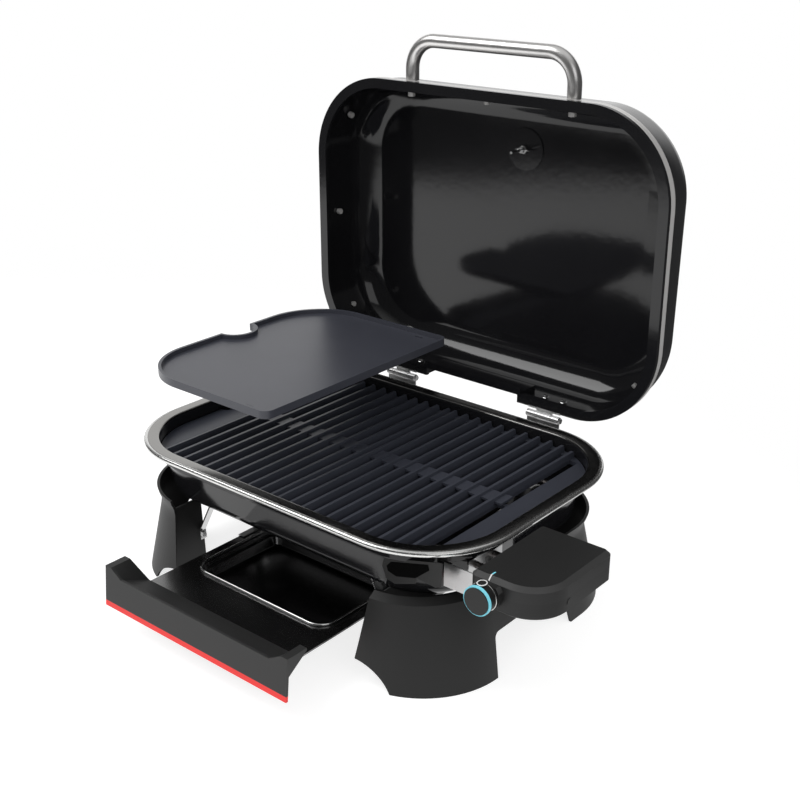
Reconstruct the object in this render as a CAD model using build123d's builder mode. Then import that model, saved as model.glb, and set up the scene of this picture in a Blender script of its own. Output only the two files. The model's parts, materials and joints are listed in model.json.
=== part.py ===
from build123d import *
import os
from math import cos, hypot, radians, sin, sqrt

os.makedirs("parts", exist_ok=True)

# Electric barbecue grill, in millimetres. The origin is on the table below the middle of
# the cook box. +X runs to the control box, -Y to the front and +Z up. The lid stands
# open, the tray is pulled out and the griddle is lifted off, as the grill is shown.

# Shared clearances
seat_gap = 0.3
slide_gap = 0.3
pin_gap = 0.15
cut_over = 10.0

# Cook box
rim_length = 555.0
rim_depth = 392.0
rim_corner = 118.0
rim_top = 182.0
band = 7.0
band_bevel = 2.0
box_sheet = 2.0
flange_width = 20.0
ledge_depth = 22.0
ledge_width = 8.0
wall_foot_inset = 36.0
wall_foot = 112.0
knee_inset = 78.0
knee = 90.0
knee_low_inset = 88.0
knee_low = 81.0
floor_inset = 94.0
floor_height = 71.0
floor_lap = 10.0
drain_length = 70.0
drain_width = 12.0
drain_y = -25.0
race_length = 218.0
race_width = 15.0
race_rise = 2.0
race_line = 2.5
race_drop = 5.0

# Leg frames
foot_inset = 8.0
leg_wall = 3.5
neck_inset = 19.0
neck_height = 118.0
collar_inset = 12.5
collar_height = 147.0
collar_top_inset = 14.0
leg_gap_low = 154.5
leg_gap_high = 167.5
leg_gap_foot = 25.0
leg_gap_top = 113.0
leg_path_start = 100.0
toe_arc_x = 98.5
toe_arc_z = -122.5
toe_arc = 156.6
web_front = -83.0
web_back = 55.0
web_low = 52.0
web_lean_front = 6.0
web_lean_back = 8.0
web_round = 8.0
slope_gap = 5.0
return_depth = 38.0
low_corner_top = 112.0
shelf_width = 4.5
shelf_height = 3.0
shelf_drop = 2.0
stay_inset = 50.0
stay_width = 10.0
stay_sheet = 2.0
stay_foot = 52.0
stay_bend = 64.0
stay_reach = 24.0
leg_screw = 7.0
leg_screw_height = 2.0

# Grates and griddle
grate_gap = 1.0
grate_top = 173.0
grate_plate = 5.0
grate_border = 9.0
bar_pitch = 19.4
bar_width = 7.0
bar_crown = 4.0
bar_margin = 2.0
cross_rib = 6.0
grate_notch = 13.0
grate_notch_y = -4.0
griddle_float = 94.0
griddle_half_depth = 169.0
griddle_outer = -250.0
griddle_inner = -6.0
griddle_corner = 85.0
griddle_sharp = 12.0
griddle_plate = 4.5
griddle_rim_height = 10.0
griddle_rim_width = 4.0
griddle_notch = 26.0
griddle_notch_y = 12.0
griddle_slot = 14.0
griddle_slot_width = 3.0
griddle_slot_edge = 12.0
griddle_slot_end = 40.0

# Heating element
element_tube = 8.0
element_height = 148.0
element_end_gap = 87.5
element_pass = 36.0
element_turn = 18.0
element_back_run = 24.0
strap_sheet = 2.0
strap_height = 12.0
strap_spacing = 150.0
terminal_setback = 50.0
terminal_pitch = 32.0
terminal_reach = 22.0
plate_length = 62.0
plate_height = 20.0
plate_sheet = 1.2

# Lid
hinge_behind = 17.0
hinge_rise = 1.0
lid_open = 90.0
lid_side_over = 2.0
lid_front_over = 4.5
lid_corner_less = 3.0
lid_gap = 1.2
lid_back_edge = 8.5
frame_width = 13.3
frame_height = 6.0
trim_height = 6.0
trim_sheet = 1.2
dome_sheet = 1.6
dome_inset = 1.5
dome_height = 101.0
dome_round = 40.0
dome_steps = 4
notch_half = 78.0
notch_depth = 11.0
notch_height = 40.0
handle_tube = 18.0
handle_half = 127.0
handle_reach = 53.0
handle_height = 27.0
handle_bend = 37.0
handle_steps = 6
handle_nut = 10.0
handle_nut_height = 6.0
handle_stud = 5.0
handle_stud_length = 16.0

# Thermometer
thermo_x = 10.0
thermo_from_front = 87.5
thermo_disc = 57.0
thermo_disc_sheet = 1.5
dial_case = 52.0
dial_wall = 2.0
dial_depth = 7.0
dial_floor = 2.0
dial_sheet = 0.8
lens_sheet = 1.4
needle_lift = 0.5
needle_hub = 2.5
needle_length = 22.0
needle_width = 3.0
stem = 8.0
stem_length = 12.0
probe = 3.6
probe_length = 34.0
wing_hub = 12.0
wing_hub_height = 5.0
wing_span = 24.0
wing_rise = 7.0
wing_sheet = 1.8

# Hinges
hinge_x = 122.0
hinge_width = 50.0
hinge_sheet = 2.5
pin = 5.0
pin_head = 8.0
pin_head_height = 2.0
knuckle = 10.0
knuckle_gap = 0.5
upper_leaf_height = 34.0
leaf_drop = 6.0
nut_across = 11.0
nut_height = 5.0
nut_crown = 3.0
nut_spacing = 28.0
nut_level = 24.0

# Tray and pan
tray_half = 126.5
tray_front = -300.0
tray_back = -40.0
tray_sheet = 2.0
tray_top = 52.0
rail_sheet = 1.5
rail_lip = 8.0
rail_front = -112.0
rail_back = 108.0
hanger_width = 14.0
hanger_foot = 14.0
hanger_front = -78.0
hanger_back = 72.0
fascia_half = 153.0
fascia_face_top = -303.0
fascia_face_bottom = -308.0
fascia_wing_top = 83.0
fascia_wing_back = -274.0
scoop_front = 73.0
scoop_back = -262.0
scoop_half = 125.0
wing_inner = 143.0
fascia_low = 38.0
stripe_low = 31.0
fascia_wall = 3.0
gusset_foot = 8.0
pan_length = 222.0
pan_width = 148.0
pan_corner = 24.0
pan_middle = -132.0
pan_depth = 19.0
pan_sheet = 1.2
pan_rim = 5.0
pan_roll = 3.0
pan_draft = 9.0
pan_floor_lap = 4.0

# Control box
control_gap = 2.5
control_length = 93.0
control_setback = 38.0
control_depth = 133.0
control_bottom = 138.0
control_parting = 157.0
control_top = 175.0
control_wall = 2.5
control_wall_high = 3.5
control_corner = 45.0
control_small = 8.0
control_bevel = 5.0
control_low_bevel = 2.0
plug = 8.0
plug_setback = 48.0
plug_z = 150.0
plug_proud = 0.4
knob_from_left = 27.0
knob_z = 158.0
knob_diameter = 32.0
knob_reach = 25.0
knob_boss = 34.0
boss_depth = 8.0
knob_gap = 0.5
ring_over = 0.8
ring_depth = 3.0
ring_cap = 1.2
lug_width = 9.0
lug_rise = 1.6
shaft = 6.0
shaft_gap = 0.2
shaft_inside = 14.0
thermostat_width = 26.0
thermostat_depth = 22.0
thermostat_height = 22.0
block_length = 46.0
block_depth = 12.0
block_height = 12.0
mark_length = 12.0
mark_width = 1.4
mark_sheet = 0.4
mark_from_left = 24.5
screw_head = 6.0
screw_head_height = 1.6

# Brackets and gland
shield_setback = 8.0
shield_length = 40.0
shield_bottom = 136.0
shield_top = 165.0
shield_sheet = 1.5
corner_sheet = 2.5
corner_post = 9.0
corner_low = 129.5
corner_high = 156.5
arm_setback = 17.0
arm_width = 28.0
arm_low = 121.0
arm_sheet = 3.0
gland_neck = 4.5
gland_flange = 7.0
gland_from_right = 30.0
gland_sheet = 3.0


def rounded_path(plane, length, depth, corner):
    """A closed rounded rectangle that starts in the middle of its front side."""
    with BuildLine(plane) as path:
        FilletPolyline(
            (0, -depth / 2),
            (length / 2, -depth / 2),
            (length / 2, depth / 2),
            (-length / 2, depth / 2),
            (-length / 2, -depth / 2),
            radius=(0, corner, corner, corner, corner),
            close=True,
        )
    return path.wire()


def across(plane, depth):
    """The plane across the front side of a path: x runs inwards, y along the normal."""
    corner = plane.from_local_coords((0, -depth / 2, 0))
    return Plane(corner, x_dir=plane.y_dir, z_dir=plane.x_dir)


def side_plane(x):
    """A plane that faces +X, with x along +Y and y along +Z."""
    return Plane((x, 0, 0), x_dir=(0, 1, 0), z_dir=(1, 0, 0))


def front_plane(y):
    """A plane that faces -Y, with x along +X and y along +Z."""
    return Plane((0, y, 0), x_dir=(1, 0, 0), z_dir=(0, -1, 0))


def sheet_outline(points, thickness):
    """The outline of a bent sheet with sharp bends, worked out from its middle line."""
    middle = [Vector(*point) for point in points]
    ways = [(b - a).normalized() for a, b in zip(middle, middle[1:])]
    outline = []
    for side in (1, -1):
        edge = []
        for i, spot in enumerate(middle):
            before = ways[max(i - 1, 0)]
            after = ways[min(i, len(ways) - 1)]
            mitre = (before + after).normalized()
            normal = Vector(-mitre.Y, mitre.X)
            reach = thickness / 2 / normal.dot(Vector(-after.Y, after.X))
            edge.append(spot + normal * side * reach)
        outline += edge[::side]
    return [(point.X, point.Y) for point in outline]


def bend(centre, radius, first, last, steps):
    """Points on an arc from one angle to another, in degrees, with both ends."""
    angles = [radians(first + (last - first) * i / steps) for i in range(steps + 1)]
    return [(centre[0] + radius * cos(a), centre[1] + radius * sin(a)) for a in angles]


def save(builder, name):
    """Label a finished piece and write it to its own file."""
    builder.part.label = name
    export_step(builder.part, f"parts/{name}.step")


# Cook box: one sheet pressed into a tub with a ledge for the grates
flange_mid = rim_top - box_sheet / 2
ledge_top = rim_top - ledge_depth
ledge_mid = ledge_top - box_sheet / 2
ledge_inset = flange_width + ledge_width
box_back = rim_depth / 2
box_right = rim_length / 2
control_left = box_right + control_gap
control_right = control_left + control_length
control_front = -box_back + control_setback
control_back = control_front + control_depth
terminal_front = control_front + terminal_setback
terminal_back = terminal_front + terminal_pitch
element_half_length = box_right - element_end_gap
rim_path = rounded_path(Plane.XY, rim_length, rim_depth, rim_corner)
box_line = (
    (band, flange_mid),
    (flange_width - box_sheet / 2, flange_mid),
    (flange_width - box_sheet / 2, ledge_mid),
    (ledge_inset - box_sheet / 2, ledge_mid),
    (wall_foot_inset, wall_foot),
    (knee_inset, knee),
    (knee_low_inset, knee_low),
    (floor_inset, floor_height),
    (floor_inset + floor_lap, floor_height),
)
slope_rise = wall_foot - knee
slope_run = knee_inset - wall_foot_inset
slope_length = hypot(slope_rise, slope_run)
with BuildPart() as cook_box:
    with BuildSketch(across(Plane.XY, rim_depth)):
        with BuildLine():
            Polyline(*sheet_outline(box_line, box_sheet), close=True)
        make_face()
    sweep(path=rim_path)
    with BuildSketch(Plane.XY.offset(floor_height - box_sheet / 2)):
        RectangleRounded(
            rim_length - 2 * floor_inset - floor_lap,
            rim_depth - 2 * floor_inset - floor_lap,
            rim_corner - floor_inset - floor_lap / 2,
        )
    extrude(amount=box_sheet)
    # The slot that the fat drains through
    with BuildSketch(Plane.XY.offset(floor_height - box_sheet)):
        with Locations((0, drain_y)):
            SlotOverall(drain_length, drain_width)
    extrude(amount=2 * box_sheet, mode=Mode.SUBTRACT)
    # The two holes for the element's ends
    with BuildSketch(side_plane(element_half_length)):
        with Locations((terminal_front, element_height), (terminal_back, element_height)):
            Circle(element_tube / 2 + seat_gap)
    extrude(amount=box_right - element_half_length, mode=Mode.SUBTRACT)
    # The raised racetrack on the front slope
    race_plane = Plane(
        (
            0,
            -box_back + (wall_foot_inset + knee_inset) / 2 + race_drop,
            (wall_foot + knee) / 2 - race_drop * slope_rise / slope_run,
        ),
        x_dir=(1, 0, 0),
        z_dir=(0, -slope_rise / slope_length, -slope_run / slope_length),
    )
    with BuildSketch(race_plane):
        SlotOverall(race_length, race_width)
    extrude(amount=box_sheet / 2 + race_rise)
    with BuildSketch(race_plane.offset(box_sheet / 2 + race_rise)):
        SlotOverall(race_length - 2 * race_line, race_width - 2 * race_line)
    extrude(amount=-race_rise, mode=Mode.SUBTRACT)
save(cook_box, "cook_box")

# Rim band: the bright rolled strip that closes the edge of the flange
with BuildPart() as rim_band:
    with BuildSketch(across(Plane.XY, rim_depth)):
        with BuildLine():
            Polyline(
                (0, rim_top - band_bevel),
                (0, rim_top - band + band_bevel),
                (band_bevel, rim_top - band),
                (band, rim_top - band),
                (band, rim_top),
                (band_bevel, rim_top),
                close=True,
            )
        make_face()
    sweep(path=rim_path)
save(rim_band, "rim_band")

# Leg frames: a leaning wall swept round each end, cut into a front leg, a web and a rear leg
foot_length = rim_length - 2 * foot_inset
foot_depth = rim_depth - 2 * foot_inset
foot_corner = rim_corner - foot_inset
foot_front = foot_depth / 2
collar_top = ledge_mid - box_sheet / 2
leg_lean = (leg_gap_high - leg_gap_low) / (leg_gap_top - leg_gap_foot)
outer_leg = (
    (0, 0),
    (neck_inset, neck_height),
    (collar_inset, collar_height),
    (collar_top_inset, collar_top),
)
inner_leg = [(inset + leg_wall, height) for inset, height in reversed(outer_leg)]


def leg_outline(sign):
    """The path of one end frame along the floor, from the front middle to the back middle."""
    with BuildLine() as path:
        FilletPolyline(
            (sign * leg_path_start, -foot_front),
            (sign * foot_length / 2, -foot_front),
            (sign * foot_length / 2, foot_front),
            (sign * leg_path_start, foot_front),
            radius=foot_corner,
        )
    return path.wire()


def leg_frame(sign):
    """One end frame. Its outer face leans in to a neck and swells into a collar."""
    path = leg_outline(sign)
    start = Plane((sign * leg_path_start, -foot_front, 0), x_dir=(0, 1, 0), z_dir=(1, 0, 0))
    with BuildPart() as frame:
        with BuildSketch(start):
            with BuildLine():
                Polyline(*outer_leg, *inner_leg, close=True)
            make_face()
        sweep(path=path)
        # The opening between the two ends, with its leaning sides
        with BuildSketch(front_plane(foot_front + cut_over)):
            with BuildLine():
                Polyline(
                    (0, -cut_over),
                    (sign * leg_gap_low, -cut_over),
                    (sign * leg_gap_low, leg_gap_foot),
                    (sign * leg_gap_high, leg_gap_top),
                    (sign * leg_gap_high, collar_top + cut_over),
                    (0, collar_top + cut_over),
                    close=True,
                )
            make_face()
            # The arched toe of each leg
            with Locations((sign * toe_arc_x, toe_arc_z)):
                Circle(toe_arc)
        extrude(amount=foot_depth + 2 * cut_over, mode=Mode.SUBTRACT)
        # The way under the web
        with BuildSketch(side_plane(0)):
            with BuildLine():
                FilletPolyline(
                    (web_front - web_lean_front, -cut_over),
                    (web_front - web_lean_front, 0),
                    (web_front, web_low),
                    (web_back, web_low),
                    (web_back + web_lean_back, 0),
                    (web_back + web_lean_back, -cut_over),
                    radius=(0, web_round, web_round, 0),
                )
                Line((web_back + web_lean_back, -cut_over), (web_front - web_lean_front, -cut_over))
            make_face()
        extrude(amount=sign * foot_length, mode=Mode.SUBTRACT)
        # Return walls behind the leaning edges
        for back in (-1, 1):
            with BuildSketch(front_plane(back * foot_front)):
                with BuildLine():
                    Polyline(
                        (sign * leg_gap_low, leg_gap_foot),
                        (sign * leg_gap_high, leg_gap_top),
                        (sign * (leg_gap_high + leg_wall), leg_gap_top),
                        (sign * (leg_gap_low + leg_wall), leg_gap_foot),
                        close=True,
                    )
                make_face()
            extrude(amount=back * (return_depth + neck_inset))
        # Trim whatever reaches past the leaning face
        with BuildSketch(start):
            with BuildLine():
                Polyline(
                    (-return_depth, -cut_over),
                    (0, -cut_over),
                    *outer_leg,
                    (collar_top_inset, collar_top + cut_over),
                    (-return_depth, collar_top + cut_over),
                    close=True,
                )
            make_face()
        sweep(path=path, mode=Mode.SUBTRACT)
        # Keep clear of the cook box's slope
        with BuildSketch(start):
            with BuildLine():
                Polyline(
                    (wall_foot_inset - foot_inset - slope_gap, neck_height),
                    (wall_foot_inset - foot_inset - slope_gap, wall_foot - slope_gap),
                    (knee_inset - foot_inset, knee - slope_gap),
                    (knee_inset - foot_inset, neck_height),
                    close=True,
                )
            make_face()
        sweep(path=path, mode=Mode.SUBTRACT)
        if sign > 0:
            # The front corner stops below the control box and carries a narrow shelf
            with BuildSketch(Plane.XY.offset(low_corner_top)):
                with Locations((box_right / 2, -foot_front / 2)):
                    Rectangle(box_right + 2 * cut_over, foot_front)
            extrude(amount=collar_top, mode=Mode.SUBTRACT)
            with BuildPart(mode=Mode.PRIVATE) as shelf:
                with BuildSketch(start):
                    with Locations(
                        (
                            neck_inset + leg_wall / 2 + shelf_width / 2,
                            low_corner_top - shelf_drop - shelf_height / 2,
                        )
                    ):
                        Rectangle(shelf_width, shelf_height)
                sweep(path=path)
                with BuildSketch(Plane.XY):
                    with Locations(((leg_gap_high + box_right) / 2, -foot_front / 2)):
                        Rectangle(box_right - leg_gap_high, foot_front)
                extrude(amount=collar_top, mode=Mode.INTERSECT)
            add(shelf.part)
    return frame


left_leg_frame = leg_frame(-1)
save(left_leg_frame, "left_leg_frame")
right_leg_frame = leg_frame(1)
save(right_leg_frame, "right_leg_frame")

# Steel stays from the legs' return walls up to the cook box's slope, each with its screw
stay_foot_x = leg_gap_low + leg_lean * (stay_foot - leg_gap_foot) - stay_sheet / 2 - pin_gap
stay_bend_x = stay_foot_x + leg_lean * (stay_bend - stay_foot)
stay_y = box_back - stay_inset
with BuildPart() as leg_stays:
    for sign in (-1, 1):
        stay_line = (
            (sign * stay_foot_x, stay_foot),
            (sign * stay_bend_x, stay_bend),
            (sign * (stay_foot_x - stay_reach), wall_foot),
        )
        for way in (-1, 1):
            with BuildSketch(front_plane(way * stay_y + stay_width / 2)):
                with BuildLine():
                    Polyline(*sheet_outline(stay_line, stay_sheet), close=True)
                make_face()
            extrude(amount=stay_width)
    # Cut to the underside of the slope
    for way in (-1, 1):
        with BuildSketch(side_plane(-box_right)):
            with BuildLine():
                below = box_sheet / 2 * slope_length / slope_run + seat_gap
                Polyline(
                    (way * (box_back - wall_foot_inset), wall_foot - below),
                    (way * (box_back - knee_inset), knee - below),
                    (way * (box_back - knee_inset), wall_foot + cut_over),
                    (way * (box_back - wall_foot_inset), wall_foot + cut_over),
                    close=True,
                )
            make_face()
        extrude(amount=rim_length, mode=Mode.SUBTRACT)
save(leg_stays, "leg_stays")

with BuildPart() as leg_screws:
    middle_x = (stay_foot_x + stay_bend_x) / 2
    for sign in (-1, 1):
        for way in (-1, 1):
            spot = Plane(
                (sign * middle_x, way * stay_y, (stay_foot + stay_bend) / 2),
                x_dir=(0, 1, 0),
                z_dir=(-sign, 0, leg_lean),
            )
            with BuildSketch(spot.offset(stay_sheet / 2)):
                RegularPolygon(leg_screw / 2, 6)
            extrude(amount=leg_screw_height)
save(leg_screws, "leg_screws")

# Grates: a border plate with long bars, each half seated on the ledge
grate_half_length = box_right - flange_width - grate_gap
grate_half_depth = box_back - flange_width - grate_gap
grate_corner = rim_corner - flange_width - grate_gap
bar_room = grate_half_length - grate_gap / 2 - 2 * bar_margin - bar_width
bars_each = int(bar_room / bar_pitch)


def grate_reach(x):
    """How far the grate's outline lies from the middle, from front to back, at x."""
    over = max(abs(x) - (grate_half_length - grate_corner), 0)
    return grate_half_depth - grate_corner + sqrt(grate_corner**2 - over**2)


def grate(sign):
    """One half grate, with crowned bars that run from the front to the back."""
    plate_top = ledge_top + seat_gap + grate_plate
    first = sign * (grate_gap / 2 + bar_margin + bar_width / 2)
    with BuildPart() as half:
        with BuildSketch(Plane.XY.offset(ledge_top + seat_gap)):
            RectangleRounded(2 * grate_half_length, 2 * grate_half_depth, grate_corner)
            with Locations((sign * (grate_half_length / 2 + grate_gap / 2), 0)):
                Rectangle(
                    grate_half_length - grate_gap / 2,
                    2 * grate_half_depth,
                    mode=Mode.INTERSECT,
                )
            with Locations((sign * grate_half_length, grate_notch_y)):
                Circle(grate_notch, mode=Mode.SUBTRACT)
        extrude(amount=grate_plate)
        with BuildSketch(Plane.XY.offset(ledge_top)):
            for i in range(bars_each - 1):
                x = first + sign * (i + 0.5) * bar_pitch
                reach = grate_reach(x) - grate_border
                for way in (-1, 1):
                    with Locations((x, way * (reach + cross_rib / 2) / 2)):
                        Rectangle(bar_pitch - bar_width, reach - cross_rib / 2)
        extrude(amount=2 * grate_plate, mode=Mode.SUBTRACT)
        # Crowned bars on the plate
        for i in range(bars_each - 1):
            x = first + sign * i * bar_pitch
            reach = grate_reach(abs(x) + bar_width / 2) - grate_gap
            with BuildSketch(front_plane(-reach)):
                with BuildLine():
                    Polyline(
                        (x - bar_width / 2, plate_top),
                        (x - bar_crown / 2, grate_top),
                        (x + bar_crown / 2, grate_top),
                        (x + bar_width / 2, plate_top),
                        close=True,
                    )
                make_face()
            extrude(amount=-2 * reach)
    return half


left_grate = grate(-1)
save(left_grate, "left_grate")
right_grate = grate(1)
save(right_grate, "right_grate")

# Griddle: a plate with a raised rim, held above the left grate
griddle_low = grate_top + seat_gap + griddle_float
griddle_length = griddle_inner - griddle_outer
griddle_middle = (griddle_inner + griddle_outer) / 2


def griddle_outline(inset):
    """The griddle's outline, drawn in by an inset, with its half round thumb notch."""
    half = griddle_length / 2 - inset
    deep = griddle_half_depth - inset
    big = griddle_corner - inset
    small = griddle_sharp - inset
    with BuildSketch() as outline:
        with BuildLine():
            FilletPolyline(
                (griddle_middle + half, -deep),
                (griddle_middle + half, deep),
                (griddle_middle - half, deep),
                (griddle_middle - half, -deep),
                radius=(small, small, big, big),
                close=True,
            )
        make_face()
        with Locations((griddle_outer, griddle_notch_y)):
            Circle(griddle_notch + inset, mode=Mode.SUBTRACT)
    return outline.sketch


with BuildPart() as griddle:
    with BuildSketch(Plane.XY.offset(griddle_low)):
        add(griddle_outline(0))
    extrude(amount=griddle_rim_height)
    with BuildSketch(Plane.XY.offset(griddle_low + griddle_plate)):
        add(griddle_outline(griddle_rim_width))
    extrude(amount=griddle_rim_height, mode=Mode.SUBTRACT)
    with BuildSketch(Plane.XY.offset(griddle_low - griddle_plate / 2)):
        slot_x = griddle_inner - griddle_slot_end
        slot_y = griddle_half_depth - griddle_slot_edge
        with Locations((slot_x, slot_y), (slot_x, -slot_y)):
            SlotOverall(griddle_slot, griddle_slot_width)
    extrude(amount=2 * griddle_plate, mode=Mode.SUBTRACT)
save(griddle, "griddle")

# Heating element: one bent tube with its two ends through the right wall
element_end = control_left + terminal_reach
element_far = -terminal_front
element_edge = element_half_length + element_turn
element_back = element_half_length + element_back_run
with BuildPart() as heating_element:
    with BuildLine(Plane.XY.offset(element_height)):
        Polyline(
            (element_end, terminal_front),
            (-element_half_length, terminal_front),
            (-element_edge, terminal_front + element_turn),
            (-element_edge, -element_pass - element_turn),
            (-element_half_length, -element_pass),
            (element_half_length - element_turn, -element_pass),
            (element_half_length, -element_pass + element_turn),
            (element_half_length, element_pass - element_turn),
            (element_half_length - element_turn, element_pass),
            (-element_half_length, element_pass),
            (-element_edge, element_pass + element_turn),
            (-element_edge, element_far - element_turn),
            (-element_half_length, element_far),
            (element_half_length, element_far),
            (element_back, element_far - element_back_run),
            (element_back, terminal_back + element_turn),
            (element_back + element_turn, terminal_back),
            (element_end, terminal_back),
        )
    with BuildSketch(side_plane(element_end)):
        with Locations((terminal_front, element_height)):
            Circle(element_tube / 2)
    sweep(transition=Transition.RIGHT)
save(heating_element, "heating_element")


def wall_inset(height):
    """How far the middle of the cook box's wall lies in from the rim at a height."""
    share = (ledge_mid - height) / (ledge_mid - wall_foot)
    top = ledge_inset - box_sheet / 2
    return top + (wall_foot_inset - top) * share


# Straps that carry the element, from the front wall to the back wall
strap_low = element_height - element_tube / 2 - strap_height
with BuildPart() as element_straps:
    with BuildSketch(Plane.XY.offset(strap_low)):
        with GridLocations(strap_spacing, 0, 3, 1):
            Rectangle(strap_sheet, 2 * (box_back - wall_inset(strap_low) - box_sheet))
    extrude(amount=strap_height)
save(element_straps, "element_straps")

# Plate on the right wall that the element's ends pass through
plate_x = box_right - ledge_inset + box_sheet + seat_gap
with BuildPart() as element_plate:
    with BuildSketch(side_plane(plate_x)):
        with Locations(((terminal_front + terminal_back) / 2, element_height)):
            Rectangle(plate_length, plate_height)
        with Locations((terminal_front, element_height), (terminal_back, element_height)):
            Circle(element_tube / 2 + seat_gap, mode=Mode.SUBTRACT)
    extrude(amount=plate_sheet)
save(element_plate, "element_plate")

# Lid frame of reference: the hinge axis, turned by the opening angle
hinge_y = box_back + hinge_behind
hinge_z = rim_top + hinge_rise
lid_length = rim_length + 2 * lid_side_over
lid_depth = hinge_y - lid_back_edge + box_back + lid_front_over
lid_corner = rim_corner - lid_corner_less
lid_front = lid_depth / 2
turn = radians(lid_open)
lid_up = Vector(0, sin(turn), cos(turn))
hinge_plane = Plane((0, hinge_y, hinge_z), x_dir=(1, 0, 0), z_dir=lid_up)
lid_middle = -lid_back_edge - lid_depth / 2


def lid_level(height):
    """A plane along the lid's rim, a height above the hinge axis, centred on the lid."""
    return Plane(
        hinge_plane.from_local_coords((0, lid_middle, height)),
        x_dir=hinge_plane.x_dir,
        z_dir=hinge_plane.z_dir,
    )


def lid_side(x):
    """A plane across the lid at x: its x runs to the back of the closed lid, its y up."""
    return Plane(
        hinge_plane.from_local_coords((x, 0, 0)),
        x_dir=hinge_plane.y_dir,
        z_dir=hinge_plane.x_dir,
    )


frame_low = lid_gap
frame_high = frame_low + frame_height
dome_length = lid_length - 2 * dome_inset
dome_depth = lid_depth - 2 * dome_inset
dome_corner = lid_corner - dome_inset
dome_skin = dome_height - dome_sheet
thermo_v = thermo_from_front - lid_front
thermo_place = Locations((thermo_x, thermo_v))

# Lid dome: a thin pressed shell with a recess in its back wall between the hinges
dome_line = (
    (dome_sheet / 2, frame_high),
    *bend(
        (dome_round, dome_height - dome_round),
        dome_round - dome_sheet / 2,
        180,
        90,
        dome_steps,
    ),
    (dome_round + floor_lap, dome_height - dome_sheet / 2),
)
with BuildPart() as lid_dome:
    with BuildSketch(across(lid_level(0), dome_depth)):
        with BuildLine():
            Polyline(*sheet_outline(dome_line, dome_sheet), close=True)
        make_face()
    sweep(path=rounded_path(lid_level(0), dome_length, dome_depth, dome_corner))
    with BuildSketch(lid_level(dome_skin)):
        RectangleRounded(
            dome_length - 2 * dome_round - floor_lap,
            dome_depth - 2 * dome_round - floor_lap,
            dome_corner - dome_round - floor_lap / 2,
        )
        with thermo_place:
            Circle(stem / 2 + seat_gap, mode=Mode.SUBTRACT)
    extrude(amount=dome_sheet)
    recess_edge = lid_depth / 2 - notch_depth - dome_sheet
    with BuildSketch(lid_level(frame_high)):
        with Locations((0, (recess_edge + dome_depth / 2) / 2)):
            Rectangle(2 * (notch_half + dome_sheet), dome_depth / 2 - recess_edge)
    extrude(amount=notch_height + dome_sheet - frame_high)
    with BuildSketch(lid_level(0)):
        with Locations((0, lid_depth / 2)):
            Rectangle(2 * notch_half, 2 * notch_depth)
    extrude(amount=notch_height, mode=Mode.SUBTRACT)
save(lid_dome, "lid_dome")

# Lid rim: the flat frame that closes on the flange
with BuildPart() as lid_rim:
    with BuildSketch(lid_level(frame_low)):
        RectangleRounded(lid_length, lid_depth, lid_corner)
        RectangleRounded(
            lid_length - 2 * frame_width,
            lid_depth - 2 * frame_width,
            lid_corner - frame_width,
            mode=Mode.SUBTRACT,
        )
        with Locations((0, lid_depth / 2 - frame_width)):
            Rectangle(2 * (notch_half + frame_width / 3), frame_width)
        with Locations((0, lid_depth / 2)):
            Rectangle(2 * notch_half, 2 * notch_depth, mode=Mode.SUBTRACT)
        # Flats for the hinge leaves
        with Locations((-hinge_x, lid_depth / 2), (hinge_x, lid_depth / 2)):
            Rectangle(hinge_width + 2 * knuckle_gap, 2 * dome_inset, mode=Mode.SUBTRACT)
    extrude(amount=frame_height)
save(lid_rim, "lid_rim")

# Lid trim: a bright band round the foot of the dome, open where the hinges sit
with BuildPart() as lid_trim:
    with BuildSketch(lid_level(frame_high)):
        RectangleRounded(
            dome_length + 2 * trim_sheet, dome_depth + 2 * trim_sheet, dome_corner + trim_sheet
        )
        RectangleRounded(dome_length, dome_depth, dome_corner, mode=Mode.SUBTRACT)
        with Locations((0, lid_depth / 2)):
            Rectangle(2 * hinge_x + hinge_width + knuckle, knuckle, mode=Mode.SUBTRACT)
    extrude(amount=trim_height)
save(lid_trim, "lid_trim")

# Lid handle: a bent tube whose ends stand on the dome's front wall
handle_plane = lid_level(handle_height)
handle_foot = -dome_depth / 2
handle_far = handle_foot - handle_reach
with BuildPart() as lid_handle:
    with BuildLine(handle_plane):
        turn_x = handle_half - handle_bend
        turn_y = handle_far + handle_bend
        Polyline(
            (-handle_half, handle_foot),
            *bend((-turn_x, turn_y), handle_bend, 180, 270, handle_steps),
            *bend((turn_x, turn_y), handle_bend, 270, 360, handle_steps),
            (handle_half, handle_foot),
        )
    with BuildSketch(
        Plane(
            handle_plane.from_local_coords((-handle_half, handle_foot, 0)),
            x_dir=handle_plane.x_dir,
            z_dir=-handle_plane.y_dir,
        )
    ):
        Circle(handle_tube / 2)
    sweep(transition=Transition.RIGHT)
save(lid_handle, "lid_handle")

# Bolts of the handle, inside the dome's front wall
bolt_plane = Plane(
    handle_plane.from_local_coords((0, handle_foot + dome_sheet, 0)),
    x_dir=handle_plane.x_dir,
    z_dir=handle_plane.y_dir,
)
with BuildPart() as handle_bolts:
    with BuildSketch(bolt_plane):
        with Locations((-handle_half, 0), (handle_half, 0)):
            RegularPolygon(handle_nut / 2, 6)
    extrude(amount=handle_nut_height)
    with BuildSketch(bolt_plane.offset(handle_nut_height)):
        with Locations((-handle_half, 0), (handle_half, 0)):
            RegularPolygon(handle_stud / 2, 6)
    extrude(amount=handle_stud_length - handle_nut_height)
save(handle_bolts, "handle_bolts")

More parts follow.
